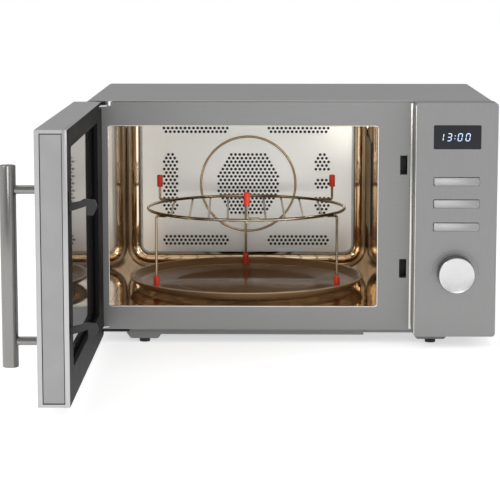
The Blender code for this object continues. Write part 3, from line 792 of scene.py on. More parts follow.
def round_frame(
    left: float, right: float, bottom: float, top: float, radius: float, steps: int = 8
) -> list[tuple[float, float]]:
    """The points of a rectangle with round corners in the XZ plane.

    Args:
        left: its lowest x.
        right: its highest x.
        bottom: its lowest z.
        top: its highest z.
        radius: the radius of its corners.
        steps: the segments of each corner.

    Returns:
        The points, once round.
    """
    corners = (
        (right - radius, top - radius, 0),
        (left + radius, top - radius, 90),
        (left + radius, bottom + radius, 180),
        (right - radius, bottom + radius, 270),
    )
    points = []
    for x, z, start in corners:
        for step in range(steps + 1):
            turn = math.radians(start + 90 * step / steps)
            points.append((x + radius * math.cos(turn), z + radius * math.sin(turn)))
    return points


# ------------------------------------------------------------------- the parts


@dataclass
class Assembly:
    """A sub-assembly, which dresses the CAD nodes that it keeps."""

    palette: Palette

    def dress(self, finish: bpy.types.Material, *names: str, edge: float = 0.0) -> None:
        """Gives nodes a finish.

        Args:
            finish: the material.
            names: the nodes.
            edge: how far their sharp edges are rounded, in metres.
        """
        for name in names:
            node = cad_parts[name]
            node.data.materials.clear()
            node.data.materials.append(finish)
            if edge:
                weld = node.modifiers.new("weld", "WELD")
                weld.merge_threshold = 0.01 * MM
                bevel = node.modifiers.new("edges", "BEVEL")
                bevel.width = edge
                bevel.segments = 2
                bevel.limit_method = "ANGLE"
                bevel.angle_limit = SHARP_EDGE
            LOG.info("%s: dressed in %s", name, finish.name)


@dataclass
class Cabinet(Assembly):
    """The outer cover, front plate, base, rear and feet."""

    rim_wire: float = 0.8 * MM
    screw_radius: float = 4.0 * MM

    def build(self) -> None:
        """Dresses the cabinet's nodes and adds the mouth rim and screws."""
        look = self.palette
        self.dress(look.cover, "outer_cover", edge=0.3 * MM)
        self.dress(look.front, "front_plate", edge=0.25 * MM)
        self.dress(look.zinc, "rear_panel", "rear_cover", edge=0.3 * MM)
        self.dress(look.zinc, "hinge_bracket_upper", "hinge_bracket_lower", edge=0.2 * MM)
        self.dress(look.rubber, "foot_1", "foot_2", "foot_3", "foot_4", "cord_gland")
        self.base_pan()
        self.mouth_rim()
        self.panel_bead_and_highlight()
        self.rear_screws()

    def base_pan(self) -> None:
        """The floor pan, with a rolled front lip and a pressed boss over each foot."""
        low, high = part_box("base_plate")
        feet = [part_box(f"foot_{number}") for number in (1, 2, 3, 4)]
        sheet = 1.5 * MM
        shape = Shape().box((low.x, low.y, high.z - sheet), high, 0.5 * MM)
        lip_left, lip_right = feet[0][0].x - 12 * MM, feet[1][0].x - 78 * MM
        lip_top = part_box("front_plate")[0].z + 2 * MM
        shape.box((lip_left, low.y, 10.2 * MM), (lip_right, low.y + sheet, lip_top), 0.6 * MM)
        shape.box((lip_right, low.y, 13.2 * MM), (high.x, low.y + sheet, lip_top), 0.5 * MM)
        for foot_low, foot_high in feet:
            foot = (foot_low + foot_high) / 2
            self.boss(shape, foot, (low.z, high.z - sheet / 2))
        shape.done("base_pan", self.palette.base, "cabinet", "zinc_sheet", ("base_plate",))

    def boss(self, shape: Shape, foot: Vector, heights: tuple[float, float]) -> None:
        """Adds a tapered boss over a foot.

        Args:
            shape: the pan in the making.
            foot: the middle of the foot.
            heights: the boss's lowest and highest point.
        """
        bottom, top = heights
        half_top, half_bottom, fore, aft = (24 * MM, 17.5 * MM, 9 * MM, 20 * MM)
        made = bmesh.ops.create_cube(shape.bm, size=1.0)["verts"]
        for vert in made:
            low_end = vert.co.z < 0
            half = half_bottom if low_end else half_top
            pull = 4 * MM if low_end else 0.0
            vert.co.x = foot.x + math.copysign(half, vert.co.x)
            vert.co.y = foot.y + (aft - pull if vert.co.y > 0 else -fore)
            vert.co.z = bottom if low_end else top
        shape.soften({edge for vert in made for edge in vert.link_edges}, 2.2 * MM)

    def panel_bead_and_highlight(self) -> None:
        """The bright rolled bead between the front plate and the control panel, and a pale strip on the
        panel's left front edge that is a painted highlight.
        """
        plate_low, plate_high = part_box("front_plate")
        panel_low, panel_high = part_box("control_panel")
        reach = 1.2 * MM
        right = panel_low.x - 0.4 * MM
        low = (right - 3.7 * MM, plate_low.y - reach, plate_low.z + 1.5 * MM)
        high = (right, plate_low.y - 0.02 * MM, plate_high.z - 1.5 * MM)
        shape = Shape().box(low, high, 1.0 * MM)
        # Pale strip along the panel's left front edge: a painted highlight for its rounded edge.
        highlight_low = (panel_low.x - 0.1 * MM, panel_low.y - 0.1 * MM, panel_low.z + 3 * MM)
        highlight_high = (panel_low.x + 0.9 * MM, panel_low.y + 1.5 * MM, panel_high.z - 3 * MM)
        shape.box(highlight_low, highlight_high, 0.4 * MM)
        shape.done("panel_bead_and_highlight", self.palette.rim, "cabinet", "satin_steel")

    def mouth_rim(self) -> None:
        """The bright rolled edge round the cavity mouth."""
        low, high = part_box("cavity_liner")
        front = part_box("front_plate")[0].y
        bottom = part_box("cavity_floor")[1].z
        wall = 1.2 * MM
        inset = self.rim_wire * 0.6
        frame_box = (low.x + wall + inset, high.x - wall - inset, bottom + inset, high.z - wall - inset)
        points = [(x, front, z) for x, z in round_frame(*frame_box, 3.2 * MM, 3)]
        shape = Shape().loop_wire(points, self.rim_wire, closed=True)
        shape.done("mouth_rim", self.palette.rim, "cabinet", "polished_steel")

    def rear_screws(self) -> None:
        """The pan-head screws along the edges of the rear panel."""
        low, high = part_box("rear_panel")
        shape = Shape()
        reach = 12 * MM
        places = [
            (x, z)
            for x in (low.x + reach, (low.x + high.x) / 2, high.x - reach)
            for z in (low.z + reach, high.z - reach)
        ]
        radius = self.screw_radius
        head = ((0, 2.4 * MM), (radius * 0.6, 2.1 * MM), (radius * 0.95, 1.0 * MM), (radius, 0), (0, 0))
        for x, z in places:
            shape.lathe(head, (x, high.y, z), Axis.Y, 20)
        shape.done("rear_screws", self.palette.zinc, "cabinet", "zinc_sheet")


@dataclass
class Cavity(Assembly):
    """The cooking cavity, with its perforated back wall, bead and lamp vent."""

    press: float = 21.0 * MM
    wall: float = 0.8 * MM
    pitch: float = 6.0 * MM
    row_pitch: float = 5.2 * MM
    hole: float = 2.05 * MM
    bead_radius: float = 67.2 * MM
    bead_wire: float = 1.7 * MM
    corner: float = 31.0 * MM
    group_spread: float = 73.0 * MM
    group_shift: float = -1.6 * MM
    group_levels: tuple[float, float] = (-81.0 * MM, 79.2 * MM)
    column_spread: float = 107.8 * MM
    column_shift: float = -2.6 * MM
    low: Vector = field(init=False)
    high: Vector = field(init=False)
    fan: Vector = field(init=False)

    def build(self) -> None:
        """Dresses the cavity and adds its pressed and pierced parts."""
        look = self.palette
        self.dress(look.cavity, "cavity_liner", "cavity_floor", "turntable_well")
        self.dress(look.mica, "waveguide_cover", edge=0.3 * MM)
        self.low, self.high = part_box("cavity_back_wall")
        self.low = self.low + Vector((1.2 * MM, 0, 1.2 * MM))
        self.high = self.high - Vector((1.2 * MM, 1.2 * MM, 1.2 * MM))
        fan_low, fan_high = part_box("convection_fan")
        self.fan = (fan_low + fan_high) / 2
        self.back_plate()
        self.pressed_border()
        self.corner_flange()
        self.bead()
        self.chamber_shade()
        self.lamp_vent()
        self.cover_outline()

    def rows(self) -> list[tuple[float, float]]:
        """The places of the holes, in rows that step by half a pitch.

        Returns:
            (x, z) of each hole's centre.
        """
        found = []

        def row(x: float, z: float, count: int) -> None:
            """Adds one centred row of holes.

            Args:
                x: the row's middle.
                z: its height.
                count: how many holes it has.
            """
            start = x - (count - 1) / 2 * self.pitch
            found.extend((start + number * self.pitch, z) for number in range(count))

        for number in range(-8, 9):
            count = 17 - abs(number) if abs(number) > 1 else 15 - abs(number)
            row(self.fan.x, self.fan.z + number * self.row_pitch, count)
        for side, longest in ((-1, 16), (1, 15)):
            for level in self.group_levels:
                for number in (-1, 0, 1):
                    z = self.fan.z + level + number * self.row_pitch
                    x = self.fan.x + side * self.group_spread + self.group_shift
                    row(x, z, longest - abs(number))
            for number in range(-8, 9):
                if side > 0 and abs(number) in (2, 3):
                    continue
                count = 3 if number % 2 else (2 if abs(number) == 8 else 4)
                x = self.fan.x + side * self.column_spread + self.column_shift
                row(x, self.fan.z + number * self.row_pitch, count)
        return found

    def back_plate(self) -> None:
        """The flat middle of the back wall, pierced by the groups of holes."""
        edge = round_frame(
            self.low.x + self.press,
            self.high.x - self.press,
            self.low.z + self.press,
            self.high.z - self.press,
            self.corner - self.press,
            6,
        )
        outlines = [edge] + [circle(x, z, self.hole, 10) for x, z in self.rows()]
        shape = Shape(flat_plate("back_plate_curve", outlines, self.high.y + self.wall / 2, self.wall))
        shape.done(
            "back_plate", self.palette.back, "cabinet", "polished_steel", ("cavity_back_wall",)
        )

    def pressed_border(self) -> None:
        """The rounded pressing between the back plate and the side walls."""
        shape = Shape()
        front = self.low.y
        low = Vector((self.low.x, front - 40 * MM, self.low.z))
        shape.box(low, self.high)
        upright = [edge for edge in shape.bm.edges if abs(edge.verts[0].co.y - edge.verts[1].co.y) > 1e-3]
        shape.soften(upright, self.corner, 8)
        back = [
            edge
            for edge in shape.bm.edges
            if all(abs(vert.co.y - self.high.y) < 1e-6 for vert in edge.verts)
        ]
        shape.soften(back, self.press, 10)
        flat = [face for face in shape.bm.faces if abs(face.normal.y) > 0.99]
        bmesh.ops.delete(shape.bm, geom=flat, context="FACES_ONLY")
        bmesh.ops.bisect_plane(
            shape.bm,
            geom=list(shape.bm.verts) + list(shape.bm.edges) + list(shape.bm.faces),
            plane_co=(0, front, 0),
            plane_no=(0, 1, 0),
            clear_inner=True,
        )
        shape.done(
            "pressed_border", self.palette.cavity, "cabinet", "polished_steel", (), self.wall
        )

    def corner_flange(self) -> None:
        """The flange that fills the corners between the pressing and the walls."""
        low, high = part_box("cavity_liner")
        wall = 1.25 * MM
        edge = round_frame(
            low.x + wall, high.x - wall, self.low.z - 0.9 * MM, high.z - wall, 0.4 * MM, 2
        )
        hole = round_frame(self.low.x, self.high.x, self.low.z, self.high.z, self.corner, 8)
        shape = Shape(flat_plate("flange_curve", [edge, hole], self.low.y + 0.4 * MM, self.wall))
        shape.done("corner_flange", self.palette.cavity, "cabinet", "polished_steel")

    def bead(self) -> None:
        """The round bead embossed about the fan holes."""
        centre = (self.fan.x, self.high.y - 0.3 * MM, self.fan.z)
        # Its bronze finish is a painted reflection of the warm side walls.
        shape = Shape().ring(centre, self.bead_radius, self.bead_wire, Axis.Y)
        shape.done("back_bead", self.palette.bead, "cabinet", "polished_steel")

    def chamber_shade(self) -> None:
        """A black sheet behind the back plate: painted shade for the dark chamber seen through the holes.
        """
        y = self.high.y + self.wall + 0.2 * MM
        low = (self.low.x + 24 * MM, y, self.low.z + 24 * MM)
        high = (self.high.x - 24 * MM, y + 0.6 * MM, self.high.z - 24 * MM)
        shape = Shape().box(low, high, 0.2 * MM)
        shape.done("chamber_painted_shade", self.palette.rubber, "cabinet", "zinc_sheet")

    def lamp_vent(self) -> None:
        """The small pierced field in the right wall, in front of the lamp, drawn as flat black discs:
        painted shade for the dark holes.
        """
        lamp_low, lamp_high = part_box("cavity_lamp")
        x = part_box("cavity_liner")[1].x - 1.25 * MM
        shape = Shape()
        middle = (lamp_low + lamp_high) / 2
        for row in range(-3, 4):
            for number in range(-3, 4):
                y = middle.y + (number + (row % 2) / 2) * 5.0 * MM
                z = middle.z + row * 4.4 * MM
                shape.rod((x - 0.05 * MM, y, z), (x + 0.15 * MM, y, z), 1.5 * MM, 10)
        shape.done("lamp_vent", self.palette.black, "cabinet", "polished_steel")

    def cover_outline(self) -> None:
        """The shallow dark joint round the waveguide cover."""
        low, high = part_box("waveguide_cover")
        x = high.x - 0.35 * MM
        corners = ((low.y, low.z), (high.y, low.z), (high.y, high.z), (low.y, high.z))
        points = [(x, y, z) for y, z in corners]
        shape = Shape().loop_wire(points, 0.9 * MM, closed=True)
        shape.done("cover_outline", self.palette.black, "cabinet", "mica")


@dataclass
class Turntable(Assembly):
    """The glass tray, roller ring and wire rack with its caps."""

    ring_wire: float = 2.0 * MM
    cross_wire: float = 1.4 * MM
    leg_wire: float = 1.75 * MM
    cross_count: int = 9
    ring_radius: float = 131.0 * MM
    rack_turn: float = 1.2
    cross_pitch: float = 24.7 * MM
    rack_height: float = 152.4 * MM
    weld_angle: float = 6.5
    bend_angle: float = 2.2
    middle: Vector = field(init=False)

    def build(self) -> None:
        """Makes the tray, rack and caps, and dresses what carries them."""
        look = self.palette
        self.dress(look.grey, "roller_ring", "drive_coupler", edge=0.3 * MM)
        self.dress(look.ceramic, "roller_1", "roller_2", "roller_3", edge=0.3 * MM)
        self.dress(look.zinc, "turntable_motor")
        low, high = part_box("glass_tray")
        self.middle = (low + high) / 2
        self.tray(low, high)
        self.tray_edge_highlights(low, high)
        self.rack()

    def tray(self, low: Vector, high: Vector) -> None:
        """The pressed glass tray, with its rolled rim and foot ring.

        Args:
            low: the tray's lowest corner.
            high: its highest corner.
        """
        radius = (high.x - low.x) / 2
        bottom, top = low.z, high.z
        floor = bottom + 4.0 * MM
        profile = (
            (0, floor - bottom),
            (radius - 62 * MM, floor - bottom),
            (radius - 61 * MM, floor - bottom - 0.5 * MM),
            (radius - 59 * MM, floor - bottom - 0.5 * MM),
            (radius - 58 * MM, floor - bottom),
            (radius - 15.6 * MM, floor - bottom),
            (radius - 12.0 * MM, floor - bottom + 1.3 * MM),
            (radius - 8.5 * MM, floor - bottom + 4.5 * MM),
            (radius - 5.0 * MM, top - bottom - 0.7 * MM),
            (radius - 3.6 * MM, top - bottom),
            (radius - 1.6 * MM, top - bottom - 0.1 * MM),
            (radius, top - bottom - 1.4 * MM),
            (radius - 0.5 * MM, top - bottom - 3.0 * MM),
            (radius - 5.0 * MM, floor - bottom + 2.0 * MM),
            (radius - 9.5 * MM, floor - bottom - 1.0 * MM),
            (radius - 18.5 * MM, 0.1 * MM),
            (radius - 20.0 * MM, 0),
            (0, 0),
        )
        centre = (self.middle.x, self.middle.y, bottom)
        # The amber of its finish is a painted reflection of the warm cavity floor.
        shape = Shape().lathe(profile, centre, Axis.Z, 128)
        shape.done("tray", self.palette.tray, "turntable", "amber_glass", ("glass_tray",))

    def tray_edge_highlights(self, low: Vector, high: Vector) -> None:
        """Rings along the tray's rim and its step: painted highlights for the thick, bright edges that
        the glass shows there.

        Args:
            low: the tray's lowest corner.
            high: its highest corner.
        """
        radius = (high.x - low.x) / 2
        middle = (self.middle.x, self.middle.y)
        shape = Shape()
        shape.ring((*middle, high.z - 0.75 * MM), radius - 1.3 * MM, 0.8 * MM, Axis.Z, 128)
        shape.ring((*middle, high.z - 0.5 * MM), radius - 4.0 * MM, 0.55 * MM, Axis.Z, 128)
        shape.ring((*middle, low.z + 4.2 * MM), radius - 15.6 * MM, 0.45 * MM, Axis.Z, 128)
        shape.done("tray_edge_highlights", self.palette.tray_edge_glint, "turntable", "amber_glass")

    def rack(self) -> None:
        """The welded wire rack and its six red caps."""
        centre = (self.middle.x, self.middle.y, self.rack_height)
        shape = Shape().ring(centre, self.ring_radius, self.ring_wire, Axis.Z, 128)
        turn = Matrix.Translation(centre) @ Matrix.Rotation(math.radians(self.rack_turn), 4, "Z")
        for number in range(self.cross_count):
            offset = (number - (self.cross_count - 1) / 2) * self.cross_pitch
            half = math.sqrt(self.ring_radius**2 - offset**2) + 1.4 * MM
            low = -self.ring_wire - 0.6 * MM
            ends = [turn @ Vector((offset, side * half, low)) for side in (-1, 1)]
            shape.rod(ends[0], ends[1], self.cross_wire, 12)
        for number in range(1, 7):
            cap_low, cap_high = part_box(f"rack_cap_{number}")
            self.leg(shape, (cap_low + cap_high) / 2)
            self.cap(number, cap_low, cap_high)
        shape.done("wire_rack", self.palette.wire, "turntable", "polished_steel", ("rack_frame",))

    def leg(self, shape: Shape, cap: Vector) -> None:
        """Adds one leg, bent so that its end lies along the ring.

        Args:
            shape: the rack in the making.
            cap: the middle of the leg's cap.
        """
        height = self.rack_height
        out = Vector((cap.x - self.middle.x, cap.y - self.middle.y, 0.0))
        upward = 1.0 if cap.z > height else -1.0
        side = 1.0 if (out.x < -1 * MM) == (upward < 0) else -1.0
        foot = self.middle + out
        points = [Vector((foot.x, foot.y, cap.z + upward * 3 * MM))]
        weld = out.normalized() * self.ring_radius
        weld.rotate(Matrix.Rotation(side * math.radians(self.weld_angle), 3, "Z"))
        near = out.normalized() * (self.ring_radius + self.leg_wire)
        near.rotate(Matrix.Rotation(side * math.radians(self.bend_angle), 3, "Z"))
        lift = upward * self.leg_wire
        bend = (foot, self.middle + near, self.middle + weld)
        rises = (upward * 5.5 * MM, lift * 1.2, lift * 0.9)
        corner = [Vector((spot.x, spot.y, height + rise)) for spot, rise in zip(bend, rises)]
        points.append(corner[0])
        elbow = Vector((foot.x, foot.y, height + rises[1]))
        for share in (0.2, 0.4, 0.6, 0.8, 1.0):
            points.append(corner[0].lerp(elbow, share).lerp(elbow.lerp(corner[1], share), share))
        points.append(corner[2])
        shape.loop_wire(points, self.leg_wire)

    def cap(self, number: int, low: Vector, high: Vector) -> None:
        """One red cap, with a round end away from the ring.

        Args:
            number: the cap's number.
            low: its lowest corner.
            high: its highest corner.
        """
        middle = (low + high) / 2
        radius = (high.x - low.x) / 2
        length = high.z - low.z
        end = 1.6 * MM
        profile = [(0, length)]
        for step in range(5):
            turn = math.pi / 2 * (1 - step / 4)
            across = radius - end + end * math.cos(turn)
            profile.append((across, length - end + end * math.sin(turn)))
        profile += [(radius * 0.96, 0.6 * MM), (radius * 0.88, 0), (0, 0)]
        shape = Shape().lathe(profile, (middle.x, middle.y, low.z), Axis.Z, 28)
        if low.z < 0.1:
            flip = Matrix.Translation(middle) @ Matrix.Rotation(math.pi, 4, "X")
            shape.turned(flip @ Matrix.Translation(-middle))
        name = f"cap_{number}"
        shape.done(
            name, self.palette.silicone, "turntable", "red_silicone", (f"rack_cap_{number}",)
        )


@dataclass
class Door(Assembly):
    """The open door with its glazing, frame, handle and latch."""

    bar_radius: float = 8.75 * MM
    post_radius: float = 4.75 * MM
    post_heights: tuple[float, float] = (78.6 * MM, 241.0 * MM)

    def build(self) -> None:
        """Dresses the door's nodes and makes the handle and end cap."""
        look = self.palette
        self.dress(look.skin, "door_skin", edge=0.5 * MM)
        self.dress(look.enamel, "door_core", "door_inner_frame", edge=0.5 * MM)
        self.dress(look.smoke, "door_window")
        self.dress(look.mirror, "door_inner_glass")
        self.dress(look.zinc, "door_screen")
        self.dress(look.black, "latch_hooks", edge=0.5 * MM)
        self.end_cap()
        self.cap_seat()
        self.edge_band()
        self.handle()

    def end_cap(self) -> None:
        """The grey cap in the door's free edge."""
        low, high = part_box("door_end_cap")
        shape = Shape().box(low, high, 0.8 * MM)
        shape.done(
            "end_cap", self.palette.end_cap, "door", "grey_plastic", ("door_end_cap",)
        )

    def edge_band(self) -> None:
        """The steel hem that wraps the inner frame's outer edge."""
        low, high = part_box("door_inner_frame")
        skin_low, skin_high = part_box("door_skin")
        left, right = skin_high.x - 0.1 * MM, high.x - 0.1 * MM
        hinge_end = skin_high.y - 6 * MM
        shape = Shape()
        shape.box((left, skin_low.y, skin_low.z), (right, low.y - 0.05 * MM, skin_high.z), 0.2 * MM)
        start = skin_low.y + 0.3 * MM
        shape.box((left, start, high.z + 0.05 * MM), (right, hinge_end, skin_high.z), 0.2 * MM)
        shape.box((left, start, skin_low.z), (right, hinge_end, low.z - 0.05 * MM), 0.2 * MM)
        shape.done("edge_band", self.palette.skin, "door", "satin_steel")

    def cap_seat(self) -> None:
        """The dark joint round the end cap."""
        low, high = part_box("door_end_cap")
        skin_low, skin_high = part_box("door_skin")
        y = low.y - 0.1 * MM
        across = 0.55 * MM
        left, right = low.x - across, min(high.x + across, skin_high.x - 0.2 * MM)
        bottom, top = low.z - across, high.z + across
        outlines = (
            ((left, y, bottom), (low.x + across, y + across, top)),
            ((high.x - across, y, bottom), (right, y + across, top)),
            ((left, y, bottom), (right, y + across, low.z + across)),
            ((left, y, high.z - across), (right, y + across, top)),
        )
        shape = Shape()
        for corner, other in outlines:
            shape.box(corner, other, 0.1 * MM)
        shape.done("end_cap_joint", self.palette.rubber, "door", "grey_plastic")

    def handle(self) -> None:
        """The upright bar with its softened ends, two posts and their collars."""
        low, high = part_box("handle")
        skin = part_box("door_skin")[0].x
        x = low.x + self.bar_radius
        y = (low.y + high.y) / 2
        radius, soft = self.bar_radius, 0.9 * MM
        length = high.z - low.z
        profile = (
            (0, length),
            (radius - soft, length),
            (radius - soft * 0.3, length - soft * 0.3),
            (radius, length - soft),
            (radius, soft),
            (radius - soft * 0.3, soft * 0.3),
            (radius - soft, 0),
            (0, 0),
        )
        shape = Shape().lathe(profile, (x, y, low.z), Axis.Z, 48)
        for height in self.post_heights:
            shape.rod((x, y, height), (skin - 0.2 * MM, y, height), self.post_radius, 32)
            collar = self.post_radius + 0.8 * MM
            shape.rod((skin - 1.4 * MM, y, height), (skin - 0.1 * MM, y, height), collar, 32)
        shape.done("handle_bar", self.palette.bar, "door", "polished_steel", ("handle",))


@dataclass
class ControlPanel(Assembly):
    """The fascia with its display, three push bars and dial."""

    digit_height: float = 8.8 * MM
    digit_width: float = 4.7 * MM
    digit_pitch: float = 2.07
    reading_start: float = -2.02
    segment: float = 0.85 * MM
    slant: float = 0.14
    mark_radius: float = 28.5 * MM
    mark_count: int = 37
    reading: str = "13:00"
    lit: dict[str, str] = field(
        default_factory=lambda: {"0": "abcdef", "1": "bc", "3": "abcdg"}
    )

    def build(self) -> None:
        """Dresses the fascia and makes its controls."""
        look = self.palette
        self.dress(look.panel, "control_panel", edge=0.8 * MM)
        self.dress(look.display, "display_window", edge=0.2 * MM)
        self.dress(look.board, "control_board")
        self.digits()
        for number in (1, 2, 3):
            self.push_bar(number)
        self.dial()
        self.dial_shade_sleeve()
        self.dial_marks()

    def segment_places(self) -> dict[str, tuple[float, float, bool]]:
        """The middle of each segment, and whether it lies flat."""
        half, tall = self.digit_width / 2, self.digit_height / 4
        return {
            "a": (0, 2 * tall, True),
            "b": (half, tall, False),
            "c": (half, -tall, False),
            "d": (0, -2 * tall, True),
            "e": (-half, -tall, False),
            "f": (-half, tall, False),
            "g": (0, 0, True),
        }

    def digits(self) -> None:
        """The clock reading in slanted seven-segment figures."""
        low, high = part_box("display_window")
        front = low.y - 0.12 * MM
        middle = (low + high) / 2
        shape = Shape()
        step = self.digit_width * self.digit_pitch
        cursor = step * self.reading_start
        for sign in self.reading:
            if sign == ":":
                for z in (-self.digit_height / 5, self.digit_height / 5):
                    self.dot(shape, cursor - step * 0.3, z, front)
                cursor += step * 0.35
                continue
            places = self.segment_places()
            for letter in self.lit[sign]:
                x, z, flat = places[letter]
                self.bar(shape, cursor + x, z, flat, front)
            cursor += step
        lean = Matrix.Identity(4)
        lean[0][2] = self.slant
        shape.turned(Matrix.Translation((middle.x, 0, middle.z)) @ lean)
        shape.done("clock_digits", self.palette.digit, "cabinet", "smoked_glass")

    def bar(self, shape: Shape, x: float, z: float, flat: bool, front: float) -> None:
        """Adds one lit segment to a shape.

        Args:
            shape: the reading in the making.
            x: the segment's middle.
            z: its height.
            flat: whether it lies flat.
            front: the face that it lies on.
        """
        half = self.segment / 2
        long = (self.digit_width if flat else self.digit_height / 2) / 2 - half * 1.3
        across, up = (long, half) if flat else (half, long)
        shape.box((x - across, front, z - up), (x + across, front + 0.1 * MM, z + up))

    def dot(self, shape: Shape, x: float, z: float, front: float) -> None:
        """Adds one dot of the colon to a shape."""
        half = self.segment * 0.6
        shape.box((x - half, front, z - half), (x + half, front + 0.1 * MM, z + half))

    def push_bar(self, number: int) -> None:
        """One push bar, whose face leans out towards its lower edge.

        Args:
            number: the bar's number from the top.
        """
        name = f"button_{number}"
        low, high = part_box(name)
        grip = 2.0 * MM
        left, right = low.x + grip, high.x - grip
        bottom, top = low.z + grip, high.z - grip
        shape = Shape().box((left, low.y, bottom), (right, low.y + 9.0 * MM, top))
        for vert in shape.bm.verts:
            if vert.co.y < low.y + 1 * MM and vert.co.z > (bottom + top) / 2:
                vert.co.y += 1.9 * MM
        lower = [
            edge
            for edge in shape.bm.edges
            if abs(edge.verts[0].co.y - edge.verts[1].co.y) > 5 * MM
            and max(vert.co.z for vert in edge.verts) < (bottom + top) / 2
        ]
        shape.soften(lower, 2.2 * MM, 5)
        front = [edge for edge in shape.bm.edges if max(v.co.y for v in edge.verts) < low.y + 3 * MM]
        shape.soften(front, 0.7 * MM, 4)
        shape.done(
            f"push_bar_{number}", self.palette.push, name, "satin_steel", (name,)
        )

    def dial(self) -> None:
        """The spun dial with its chamfer and dished face."""
        low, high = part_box("knob")
        centre = (low + high) / 2
        radius = (high.x - low.x) / 2
        reach = high.y - low.y
        skirt = 6.6 * MM
        profile = (
            (0, reach - 1.0 * MM),
            (radius * 0.3, reach - 0.95 * MM),
            (radius * 0.86, reach - 0.6 * MM),
            (radius * 0.94, reach - 0.15 * MM),
            (radius * 0.96, reach),
            (radius * 0.972, reach - 0.2 * MM),
            (radius * 0.978, reach - 0.7 * MM),
            (radius * 0.985, skirt + 3.0 * MM),
            (radius, skirt + 1.0 * MM),
            (radius * 0.99, skirt),
            (3.0 * MM, skirt),
            (3.0 * MM, 0),
            (0, 0),
        )
        shape = Shape().lathe(profile, (centre.x, high.y, centre.z), Axis.Y, 96)
        face = Matrix.Translation((centre.x, high.y, centre.z))
        shape.turned(face @ Matrix.Scale(-1, 4, (0, 1, 0)) @ face.inverted())
        bmesh.ops.reverse_faces(shape.bm, faces=shape.bm.faces)
        shape.done("dial", self.palette.knob, "dial", "polished_steel", ("knob",))

    def dial_shade_sleeve(self) -> None:
        """A dark band round the dial's side: painted shade and a painted dark reflection on that side."""
        low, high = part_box("knob")
        centre = (low + high) / 2
        start = Vector((centre.x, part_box("control_panel")[0].y - 0.3 * MM, centre.z))
        end = Vector((centre.x, low.y + 2.4 * MM, centre.z))
        shape = Shape().rod(start, end, (high.x - low.x) / 2 + 0.12 * MM, 96)
        shape.done("dial_shade_sleeve", self.palette.dial_side_shade, "dial", "satin_steel")

    def dial_marks(self) -> None:
        """The printed arc and ticks over the dial."""
        low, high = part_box("knob")
        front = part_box("control_panel")[0].y
        centre = (low + high) / 2
        shape = Shape()
        for step in range(self.mark_count):
            turn = math.radians(-2 + 184 * step / (self.mark_count - 1))
            long = step % 6 == 0
            reach, half = (1.6 * MM, 0.3 * MM) if long else (0.28 * MM, 1.28 * MM)
            before = set(shape.bm.verts)
            outer = (self.mark_radius + reach, front + 0.05 * MM, half)
            shape.box((self.mark_radius, front - 0.06 * MM, -half), outer)
            made = [vert for vert in shape.bm.verts if vert not in before]
            place = Matrix.Translation((centre.x, 0, centre.z)) @ Matrix.Rotation(-turn, 4, "Y")
            bmesh.ops.transform(shape.bm, matrix=place, verts=made)
        shape.done("dial_marks", self.palette.mark, "cabinet", "satin_steel")


@dataclass
class Works(Assembly):
    """The hidden works, which keep their CAD shapes."""

    def build(self) -> None:
        """Dresses every hidden node."""
        look = self.palette
        self.dress(look.zinc, "waveguide", "magnetron", "transformer", "convection_chamber")
        self.dress(look.zinc, "convection_fan", "convection_motor", "interlock_bracket")
        self.dress(look.enamel, "convection_heater")
        self.dress(look.grey, "cooling_fan", "cooling_duct")
        self.dress(look.black, "door_switch_1", "door_switch_2")
        self.dress(look.ceramic, "cavity_lamp")


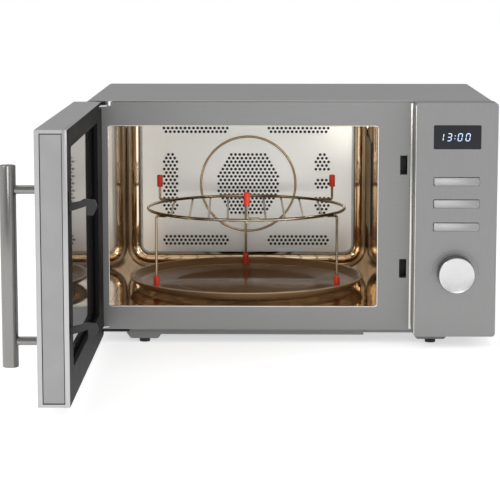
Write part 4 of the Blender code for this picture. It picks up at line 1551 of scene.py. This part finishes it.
@dataclass
class Studio:
    """The floor, lights, world and camera."""

    distance: float = 2.42
    eye_height: float = 0.4828
    eye_left: float = 0.0162
    lens: float = 141.9
    pitch: float = 8.43
    yaw: float = 0.785
    base_light: float = 0.42
    side_light: float = 0.75
    floor_reach: float = 12.0
    middle: Vector = field(init=False)

    def build(self) -> None:
        """Sets up the studio."""
        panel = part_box("control_panel")[0].y
        cover_low, cover_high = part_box("outer_cover")
        self.middle = Vector(((cover_low.x + cover_high.x) / 2, panel, 0.15))
        self.floor()
        self.lights()
        self.world()
        self.camera()
        bpy.context.scene.view_settings.view_transform = "Standard"

    def floor(self) -> None:
        """The plain pale floor."""
        bm = bmesh.new()
        bmesh.ops.create_grid(bm, x_segments=1, y_segments=1, size=self.floor_reach)
        mesh = bpy.data.meshes.new("studio_floor")
        bm.to_mesh(mesh)
        bm.free()
        graph = Surface("studio_floor")
        graph.set(Base_Color=(0.80, 0.80, 0.80), Roughness=0.9, Specular_IOR_Level=0.0)
        graph.set(Emission_Color=WHITE, Emission_Strength=0.55)
        mesh.materials.append(graph.material)
        plane = bpy.data.objects.new("studio_floor", mesh)
        bpy.context.scene.collection.objects.link(plane)

    def area(
        self,
        name: str,
        place: Point,
        aim: Point,
        size: float,
        power: float,
        colour: Colour = WHITE,
    ) -> None:
        """Adds one soft area light.

        Args:
            name: the light's name.
            place: where it hangs.
            aim: what it points at.
            size: its side.
            power: its power in watts.
            colour: its colour.
        """
        lamp = bpy.data.lights.new(name, "AREA")
        lamp.size = size
        lamp.energy = power
        lamp.color = colour
        made = bpy.data.objects.new(name, lamp)
        made.location = place
        made.rotation_euler = (Vector(aim) - Vector(place)).to_track_quat("-Z", "Y").to_euler()
        bpy.context.scene.collection.objects.link(made)

    def lights(self) -> None:
        """A soft key from the upper left, a fill and the oven's own lamp."""
        x, y, z = self.middle
        self.area("key", (x - 1.5, y - 1.5, z + 1.3), (x, y, z), 1.0, 15)
        self.area("fill", (x + 1.6, y - 1.3, z + 0.5), (x, y, z), 0.9, 6)
        self.area("front", (x + 0.2, y - 2.6, z + 0.9), (x, y + 0.3, z), 0.8, 7)
        self.area("top", (x, y + 0.4, z + 2.0), (x, y + 0.2, z), 1.6, 8)
        lamp_low, lamp_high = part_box("cavity_lamp")
        liner_low, liner_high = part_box("cavity_liner")
        place = (liner_high.x - 0.006, (lamp_low.y + lamp_high.y) / 2, lamp_low.z)
        aim = ((liner_low.x + liner_high.x) / 2, liner_high.y, 0.16)
        self.area("oven_lamp", place, aim, 0.03, 0.05, (1.0, 0.97, 0.9))

    def world(self) -> None:
        """A white surround that lights evenly and is seen as plain white."""
        world = bpy.data.worlds.new("studio")
        world.use_nodes = True
        bpy.context.scene.world = world
        sky = Graph(world.node_tree)
        x, _, _ = sky.split(sky.node("ShaderNodeTexCoord", output="Generated"))
        around = sky.tree.nodes["Background"]
        sky.feed(around.inputs["Color"], WHITE)
        sky.feed(around.inputs["Strength"], x * x * self.side_light + self.base_light)
        seen = sky.node("ShaderNodeBackground", None, {"Color": WHITE, "Strength": 1.0})
        direct = sky.node("ShaderNodeLightPath", output="Is Camera Ray")
        inputs = {0: direct, 1: Signal(sky, around.outputs[0]), 2: seen}
        blend = sky.node("ShaderNodeMixShader", None, inputs)
        sky.feed(sky.tree.nodes["World Output"].inputs["Surface"], blend)

    def camera(self) -> None:
        """The long-lens camera in front of the open door."""
        data = bpy.data.cameras.new("camera")
        data.lens = self.lens
        data.sensor_width = 36.0
        made = bpy.data.objects.new("camera", data)
        made.location = (self.middle.x - self.eye_left, self.middle.y - self.distance, self.eye_height)
        tilt = math.radians(90 - self.pitch)
        made.rotation_euler = (tilt, 0, math.radians(self.yaw))
        bpy.context.scene.collection.objects.link(made)
        bpy.context.scene.camera = made


def main() -> None:
    """Builds every sub-assembly of the oven, and then the studio."""
    logging.basicConfig(level=logging.INFO, format="%(name)s: %(message)s")
    palette = Palette()
    for part in (Cabinet, Cavity, Turntable, Door, ControlPanel, Works):
        part(palette).build()
        LOG.info("%s built", part.__name__)
    Studio().build()


if __name__ == "__main__":
    main()
